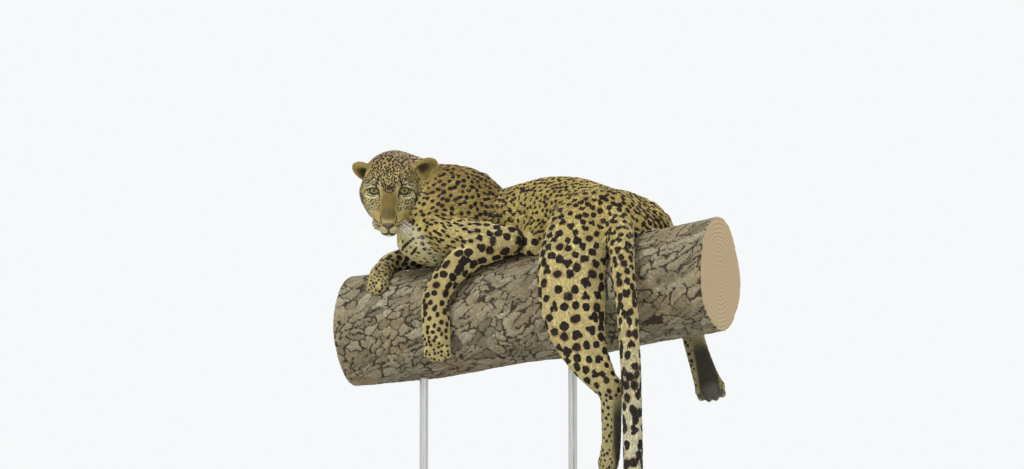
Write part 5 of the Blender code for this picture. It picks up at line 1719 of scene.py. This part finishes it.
class LEOPARD_OT_whiskers(bpy.types.Operator):
    """Sets the whiskers on the upper lip and the long hairs over the eyes"""
    bl_idname = "leopard.whiskers"
    bl_label = "Whiskers"

    def execute(self, context):
        skin = bpy.data.objects["skin"].data
        corners = [tuple(f.vertices) for f in skin.polygons]
        tree = BVHTree.FromPolygons([v.co[:] for v in skin.vertices], corners)
        rng = np.random.default_rng(51)
        verts, faces = [], []
        thick = context.scene.leopard.whisker
        t = np.linspace(0, 1, 13)[:, None]
        hairs = [(*row, thick) for row in WHISKERS] + [(*row, thick * 0.5) for row in BROW_HAIRS]
        for ((a, v), length, drop, radius), side in product(hairs, (-1, 1)):
            root = on_face(tree, a + rng.normal(0, 0.5), v + rng.normal(0, 0.5), side)
            if root is None:
                continue
            reach = length * 0.001 * rng.uniform(0.85, 1.15)
            wide = 0.95 if drop > 0 else 0.45
            out = unit((side * wide, -0.42, -0.20 - drop * 0.35)) @ HEAD_AXES
            sag = np.array((0.0, 0.10, -0.85 * max(drop, 0.12))) @ HEAD_AXES + np.array((0.0, 0.0, -0.15))
            path = root - out * 0.0012 + out * reach * t + sag * reach * 0.75 * t ** 2.1
            made, shape = strand(path, radius * (1 - 0.80 * t[:, 0] ** 1.3))
            faces += [tuple(i + len(verts) for i in f) for f in shape]
            verts += made
        material, nodes, shader = new_material("whisker_hair")
        noise = noise_of(nodes, place_in(nodes), 900.0)
        colour = ramp(nodes, noise, (0.3, (0.80, 0.78, 0.72)), (0.7, (0.95, 0.94, 0.90)))
        give(nodes, shader, {"Base Color": colour, "Roughness": 0.35})
        obj = shown("whiskers", verts, faces, material)
        outward(obj.data)
        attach(obj, "root")
        return {"FINISHED"}


def nearest_two(flat, seeds):
    """Distances to the nearest two seeds in a plane, and the nearest one's number."""
    tree = kdtree.KDTree(len(seeds))
    for i, (x, y) in enumerate(seeds):
        tree.insert((x, y, 0.0), i)
    tree.balance()
    found = [tree.find_n((x, y, 0.0), 2) for x, y in flat]
    return np.array([(f[0][2], f[1][2]) for f in found]), np.array([f[0][1] for f in found])


def plates(x, arc, size, seed, loop):
    """Irregular plates: how far each place is from a crack, and a number from 0 to 1 for its plate."""
    rng = np.random.default_rng(seed)
    along = np.arange(BOUGH_LEFT - 0.05, BOUGH_RIGHT + 0.05, size[0])
    across = np.arange(0, round(loop / size[1])) * loop / round(loop / size[1])
    seeds = np.array([
        (a + rng.uniform(-0.48, 0.48) * size[0] + (i % 2) * size[0] / 2, b + rng.uniform(-0.42, 0.42) * size[1])
        for a in along for i, b in enumerate(across)
    ])
    value = rng.random(len(seeds))
    ratio = size[0] / size[1]
    every = np.concatenate([seeds + (0, k * loop) for k in (-1, 0, 1)]) * (1, ratio)
    gaps, nearest = nearest_two(np.column_stack((x, arc * ratio)), every)
    return (gaps[:, 1] - gaps[:, 0]) / size[0], value[nearest % len(seeds)]


def bark_relief(x, turn, sizes):
    """How deep each place of the bark lies, its share of crack and its tone."""
    loop = 2 * math.pi * BOUGH_RADIUS
    ring = np.column_stack((x, np.cos(turn) * BOUGH_RADIUS, np.sin(turn) * BOUGH_RADIUS))
    # The plates run in a slow spiral, bent by wide waves.
    bent = x + 0.016 * waves(ring, 0.09, 61) + 0.005 * waves(ring, 0.03, 62) + 0.0015 * waves(ring, 0.009, 69)
    turned = turn * BOUGH_RADIUS + x * 0.35 + 0.009 * waves(ring, 0.08, 63)
    turned = (turned + 0.0035 * waves(ring, 0.025, 64) + 0.0012 * waves(ring, 0.008, 70)) % loop
    edge, plate = plates(bent, turned, tuple(sizes.plate), 65, loop)
    fine, scale = plates(bent, turned, SMALL_PLATE, 66, loop)
    crack = step01(0.17, 0.02, edge) * step01(-1.3, 0.1, waves(ring, 0.05, 68))
    small = step01(0.22, 0.02, fine)
    depth = sizes.bark_depth * (0.52 * crack + 0.12 * small + 0.24 * (1 - plate) + 0.12 * (1 - scale))
    depth += 0.0004 * (1 + waves(ring, 0.006, 67))
    return np.clip(depth, 0.0002, sizes.bark_depth), np.maximum(crack, small * 0.32), plate * 0.7 + scale * 0.3


class LEOPARD_OT_bough(bpy.types.Operator):
    """Covers the bough with cracked bark and saws its ends"""
    bl_idname = "leopard.bough"
    bl_label = "Bough"

    def execute(self, context):
        sizes = context.scene.leopard
        n, m = BARK_AROUND, sizes.bark_rings
        turns = np.arange(n) / n * 2 * math.pi
        along = np.linspace(BOUGH_LEFT + BARK_SHORT, BOUGH_RIGHT - BARK_SHORT, m)
        x, turn = (g.ravel() for g in np.meshgrid(along, turns, indexing="ij"))
        depth, crack, plate = bark_relief(x, turn, sizes)
        radius = bough_radius(x, turn) - depth
        points = [np.column_stack((x, np.cos(turn) * radius, bough_axis(x) + np.sin(turn) * radius))]
        i, j = (g.ravel() for g in np.meshgrid(np.arange(m - 1), np.arange(n), indexing="ij"))
        k = (j + 1) % n
        faces = np.column_stack((i * n + j, i * n + k, (i + 1) * n + k, (i + 1) * n + j)).tolist()
        count = n * m
        for end, at in ((0, BOUGH_LEFT), (m - 1, BOUGH_RIGHT)):
            middle = np.array((at, 0.0, float(bough_axis(at))))
            last = end * n + np.arange(n)
            edge = points[0][last]
            edge[:, 0] = at
            for share in SAWN_RINGS:
                here = count + np.arange(n)
                points.append(middle + (edge - middle) * share)
                faces += np.column_stack((last, np.roll(last, -1), np.roll(here, -1), here)).tolist()
                last, count = here, count + n
            faces.append(last.tolist())
        sawn = count - n * m
        obj = shown("bark", np.vstack(points), faces, bark_material())
        outward(obj.data)
        carry(obj.data, {
            "crack": np.append(crack, np.zeros(sawn)), "plate": np.append(plate, np.full(sawn, 0.5)),
            "wood": np.append(np.zeros(n * m), np.ones(sawn)),
        })
        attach(obj, "root")
        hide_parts("perch_branch")
        return {"FINISHED"}


def bump(tree, shader, height, strength, distance):
    made = node(tree, "ShaderNodeBump", {"Height": height, "Strength": strength, "Distance": distance})
    tree.links.new(made.outputs[0], shader.inputs["Normal"])


def bark_material():
    """Grey-brown bark with pale lichen and dark cracks, partly the bark's own dark and partly painted shade,
    and rings on the sawn ends.
    """
    material, tree, shader = new_material("bark_cracked")
    place = place_in(tree)
    fine = noise_of(tree, place, 160.0, Detail=6.0, Roughness=0.65)
    wide = noise_of(tree, place, 9.0, Detail=4.0)
    spots = noise_of(tree, place, 34.0, Detail=5.0, Roughness=0.7)
    base = ramp(
        tree, value_of(tree, "plate"), (0.0, (0.120, 0.104, 0.062)), (0.5, (0.225, 0.200, 0.125)),
        (1.0, (0.350, 0.318, 0.215)),
    )
    base = mixed(tree, ramp(tree, wide, (0.42, 0), (0.62, 0.55)), base, (0.245, 0.175, 0.095, 1))
    base = mixed(tree, ramp(tree, spots, (0.60, 0), (0.70, 0.65)), base, (0.43, 0.42, 0.33, 1))
    base = mixed(tree, 1.0, base, ramp(tree, fine, (0.30, 0.62), (0.70, 1.15)), "MULTIPLY")
    # The cracks are painted nearly black: partly the bark's own dark, partly painted shade in the fissures.
    crack = ramp(tree, value_of(tree, "crack"), (0.10, 0), (0.62, 0.95))
    base = mixed(tree, crack, base, (0.030, 0.023, 0.013, 1))

    # The rings of the sawn ends run round the bough's own axis.
    middle = node(tree, "ShaderNodeSeparateXYZ", {"Vector": place}).outputs
    rise = maths(tree, "ADD", BOUGH_HEIGHT, maths(tree, "MULTIPLY", middle["X"], BOUGH_RISE))
    height = maths(tree, "SUBTRACT", middle["Z"], rise)
    squares = (maths(tree, "POWER", middle["Y"], 2.0), maths(tree, "POWER", height, 2.0))
    out = maths(tree, "SQRT", maths(tree, "ADD", *squares))
    out = maths(tree, "ADD", out, maths(tree, "MULTIPLY", wide, 0.030))
    ring = maths(tree, "SINE", maths(tree, "MULTIPLY", out, 620.0))
    sawn = ramp(
        tree, maths(tree, "MULTIPLY_ADD", ring, 0.5, 0.5),
        (0.0, (0.36, 0.26, 0.145)), (0.6, (0.44, 0.33, 0.19)), (1.0, (0.46, 0.355, 0.21)),
    )
    sawn = mixed(tree, 1.0, sawn, ramp(tree, fine, (0.3, 0.85), (0.7, 1.05)), "MULTIPLY")
    colour = mixed(tree, value_of(tree, "wood"), base, sawn)
    give(tree, shader, {"Base Color": colour, "Roughness": 0.88, "Specular IOR Level": 0.25})
    bump(tree, shader, maths(tree, "ADD", fine, maths(tree, "MULTIPLY", spots, 0.6)), 0.8, 0.0022)
    return material


def stretched(tree, place, scale):
    """Places drawn out along one way, for grain."""
    return node(tree, "ShaderNodeMapping", {"Vector": place, "Scale": scale}).outputs[0]


def wood_material():
    material, tree, shader = new_material("wood_stained")
    place = place_in(tree)
    along = stretched(tree, place, (2.2, 34.0, 34.0))
    grain = noise_of(tree, along, 1.6, Detail=6.0, Roughness=0.6, Distortion=0.5)
    pores = noise_of(tree, stretched(tree, place, (22.0, 700.0, 700.0)), 1.0, Detail=2.0)
    colour = ramp(
        tree, grain,
        (0.30, (0.050, 0.026, 0.014)), (0.50, (0.115, 0.060, 0.030)), (0.70, (0.175, 0.095, 0.048)),
    )
    colour = mixed(tree, 1.0, colour, ramp(tree, pores, (0.36, 0.55), (0.50, 1.0)), "MULTIPLY")
    give(tree, shader, {"Base Color": colour, "Roughness": 0.38, "Coat Weight": 0.35, "Coat Roughness": 0.22})
    bump(tree, shader, pores, 0.15, 0.0004)
    return material


def steel_material():
    material, tree, shader = new_material("steel_brushed")
    brush = noise_of(tree, stretched(tree, place_in(tree), (900.0, 900.0, 14.0)), 1.0, Detail=3.0)
    colour = ramp(tree, brush, (0.35, (0.46, 0.46, 0.45)), (0.65, (0.62, 0.62, 0.61)))
    rough = ranged(tree, brush, 0.3, 0.7, 0.26, 0.42)
    give(tree, shader, {"Base Color": colour, "Roughness": rough, "Metallic": 1.0})
    bump(tree, shader, brush, 0.12, 0.0002)
    return material


class LEOPARD_OT_stand(bpy.types.Operator):
    """Gives the display stand its stained wood and brushed steel"""
    bl_idname = "leopard.stand"
    bl_label = "Stand"

    def execute(self, context):
        wood, steel = wood_material(), steel_material()
        for name, material in (("stand_base", wood), ("stand_rod_1", steel), ("stand_rod_2", steel)):
            for slot in bpy.data.objects[name].material_slots:
                slot.material = material
        return {"FINISHED"}


class LEOPARD_OT_stage(bpy.types.Operator):
    """Sets the floor, the soft studio light and the camera"""
    bl_idname = "leopard.stage"
    bl_label = "Stage"

    def execute(self, context):
        scene, sizes = context.scene, context.scene.leopard
        pale, tree, shader = new_material("pale_floor")
        give(tree, shader, {"Base Color": (0.78, 0.78, 0.76, 1), "Roughness": 0.8})
        floor = shown("floor", [(-9, -9, 0), (9, -9, 0), (9, 9, 0), (-9, 9, 0)], [(0, 1, 2, 3)], pale)
        scene.world = scene.world or bpy.data.worlds.new("studio")
        scene.world.use_nodes = True
        sky = scene.world.node_tree
        give(sky, sky.nodes["Background"], {"Color": (0.94, 0.96, 0.97, 1), "Strength": 0.98})
        scene.view_settings.view_transform = "Standard"
        for name, place, size, power in LAMPS:
            lamp = bpy.data.lights.new(name, "AREA")
            lamp.size = size
            lamp.energy = power * sizes.light
            obj = bpy.data.objects.new(name, lamp)
            obj.location = place
            obj.rotation_euler = (Vector(AIM) - Vector(place)).to_track_quat("-Z", "Y").to_euler()
            scene.collection.objects.link(obj)
        lens = bpy.data.cameras.new("camera")
        lens.lens = LENS
        lens.sensor_width = 36
        camera = bpy.data.objects.new("camera", lens)
        turn, rise = sizes.view_turn, math.radians(VIEW_RISE)
        out = Vector((math.sin(turn) * math.cos(rise), -math.cos(turn) * math.cos(rise), math.sin(rise)))
        camera.location = Vector(AIM) + out * sizes.view_distance
        camera.rotation_euler = (-out).to_track_quat("-Z", "Y").to_euler()
        scene.collection.objects.link(camera)
        scene.camera = camera
        return {"FINISHED"}


class LeopardSettings(bpy.types.PropertyGroup):
    """The sizes that the pieces are built from"""
    coat_share: FloatProperty(
        name="Tufts", description="Share of the full number of tufts", default=1.0, min=0.1, max=1.1,
    )
    hair_length: FloatProperty(
        name="Hair length", description="Length of the tufts, as a share", default=1.0, min=0.5, max=1.5,
    )
    patch: FloatProperty(
        name="Patch", description="Width of a tuft's patch on the unwrap", default=0.003, min=0.001, max=0.01,
    )
    whisker: FloatProperty(
        name="Whisker", description="Radius of a whisker at its root", default=0.00042, unit="LENGTH",
    )
    bark_depth: FloatProperty(
        name="Bark depth", description="Depth of the cracks", default=BARK_DEPTH, unit="LENGTH",
    )
    plate: FloatVectorProperty(
        name="Bark plate", description="Length and width of a plate", size=2, default=PLATE, unit="LENGTH",
    )
    bark_rings: IntProperty(
        name="Bark rings", description="Rings of the bark along the bough", default=BARK_ALONG, min=50, max=500,
    )
    light: FloatProperty(
        name="Light", description="Power of the lamps, as a share", default=1.0, min=0.0, max=4.0,
    )
    view_distance: FloatProperty(
        name="View distance", description="From the camera to its aim", default=VIEW_DISTANCE, unit="LENGTH",
    )
    view_turn: FloatProperty(
        name="View turn", description="Camera angle round the model", default=math.radians(VIEW_TURN),
        subtype="ANGLE",
    )


class LEOPARD_PT_pieces(bpy.types.Panel):
    """Lists the pieces and their sizes"""
    bl_idname = "LEOPARD_PT_pieces"
    bl_label = "Leopard on a bough"
    bl_space_type = "VIEW_3D"
    bl_region_type = "UI"
    bl_category = "Leopard"

    def draw(self, context):
        column = self.layout.column(align=True)
        for cls in CLASSES:
            if issubclass(cls, bpy.types.Operator):
                column.operator(cls.bl_idname)
        for key in LeopardSettings.__annotations__:
            self.layout.prop(context.scene.leopard, key)


CLASSES = (
    LeopardSettings, LEOPARD_PT_pieces,
    LEOPARD_OT_skin, LEOPARD_OT_coat, LEOPARD_OT_eyes, LEOPARD_OT_whiskers, LEOPARD_OT_bough, LEOPARD_OT_stand,
    LEOPARD_OT_stage,
)


def register():
    for cls in CLASSES:
        bpy.utils.register_class(cls)
    bpy.types.Scene.leopard = PointerProperty(type=LeopardSettings)


def unregister():
    del bpy.types.Scene.leopard
    for cls in reversed(CLASSES):
        bpy.utils.unregister_class(cls)


def main():
    register()
    bpy.ops.leopard.skin()
    bpy.ops.leopard.coat()
    bpy.ops.leopard.eyes()
    bpy.ops.leopard.whiskers()
    bpy.ops.leopard.bough()
    bpy.ops.leopard.stand()
    bpy.ops.leopard.stage()


if __name__ == "__main__":
    main()
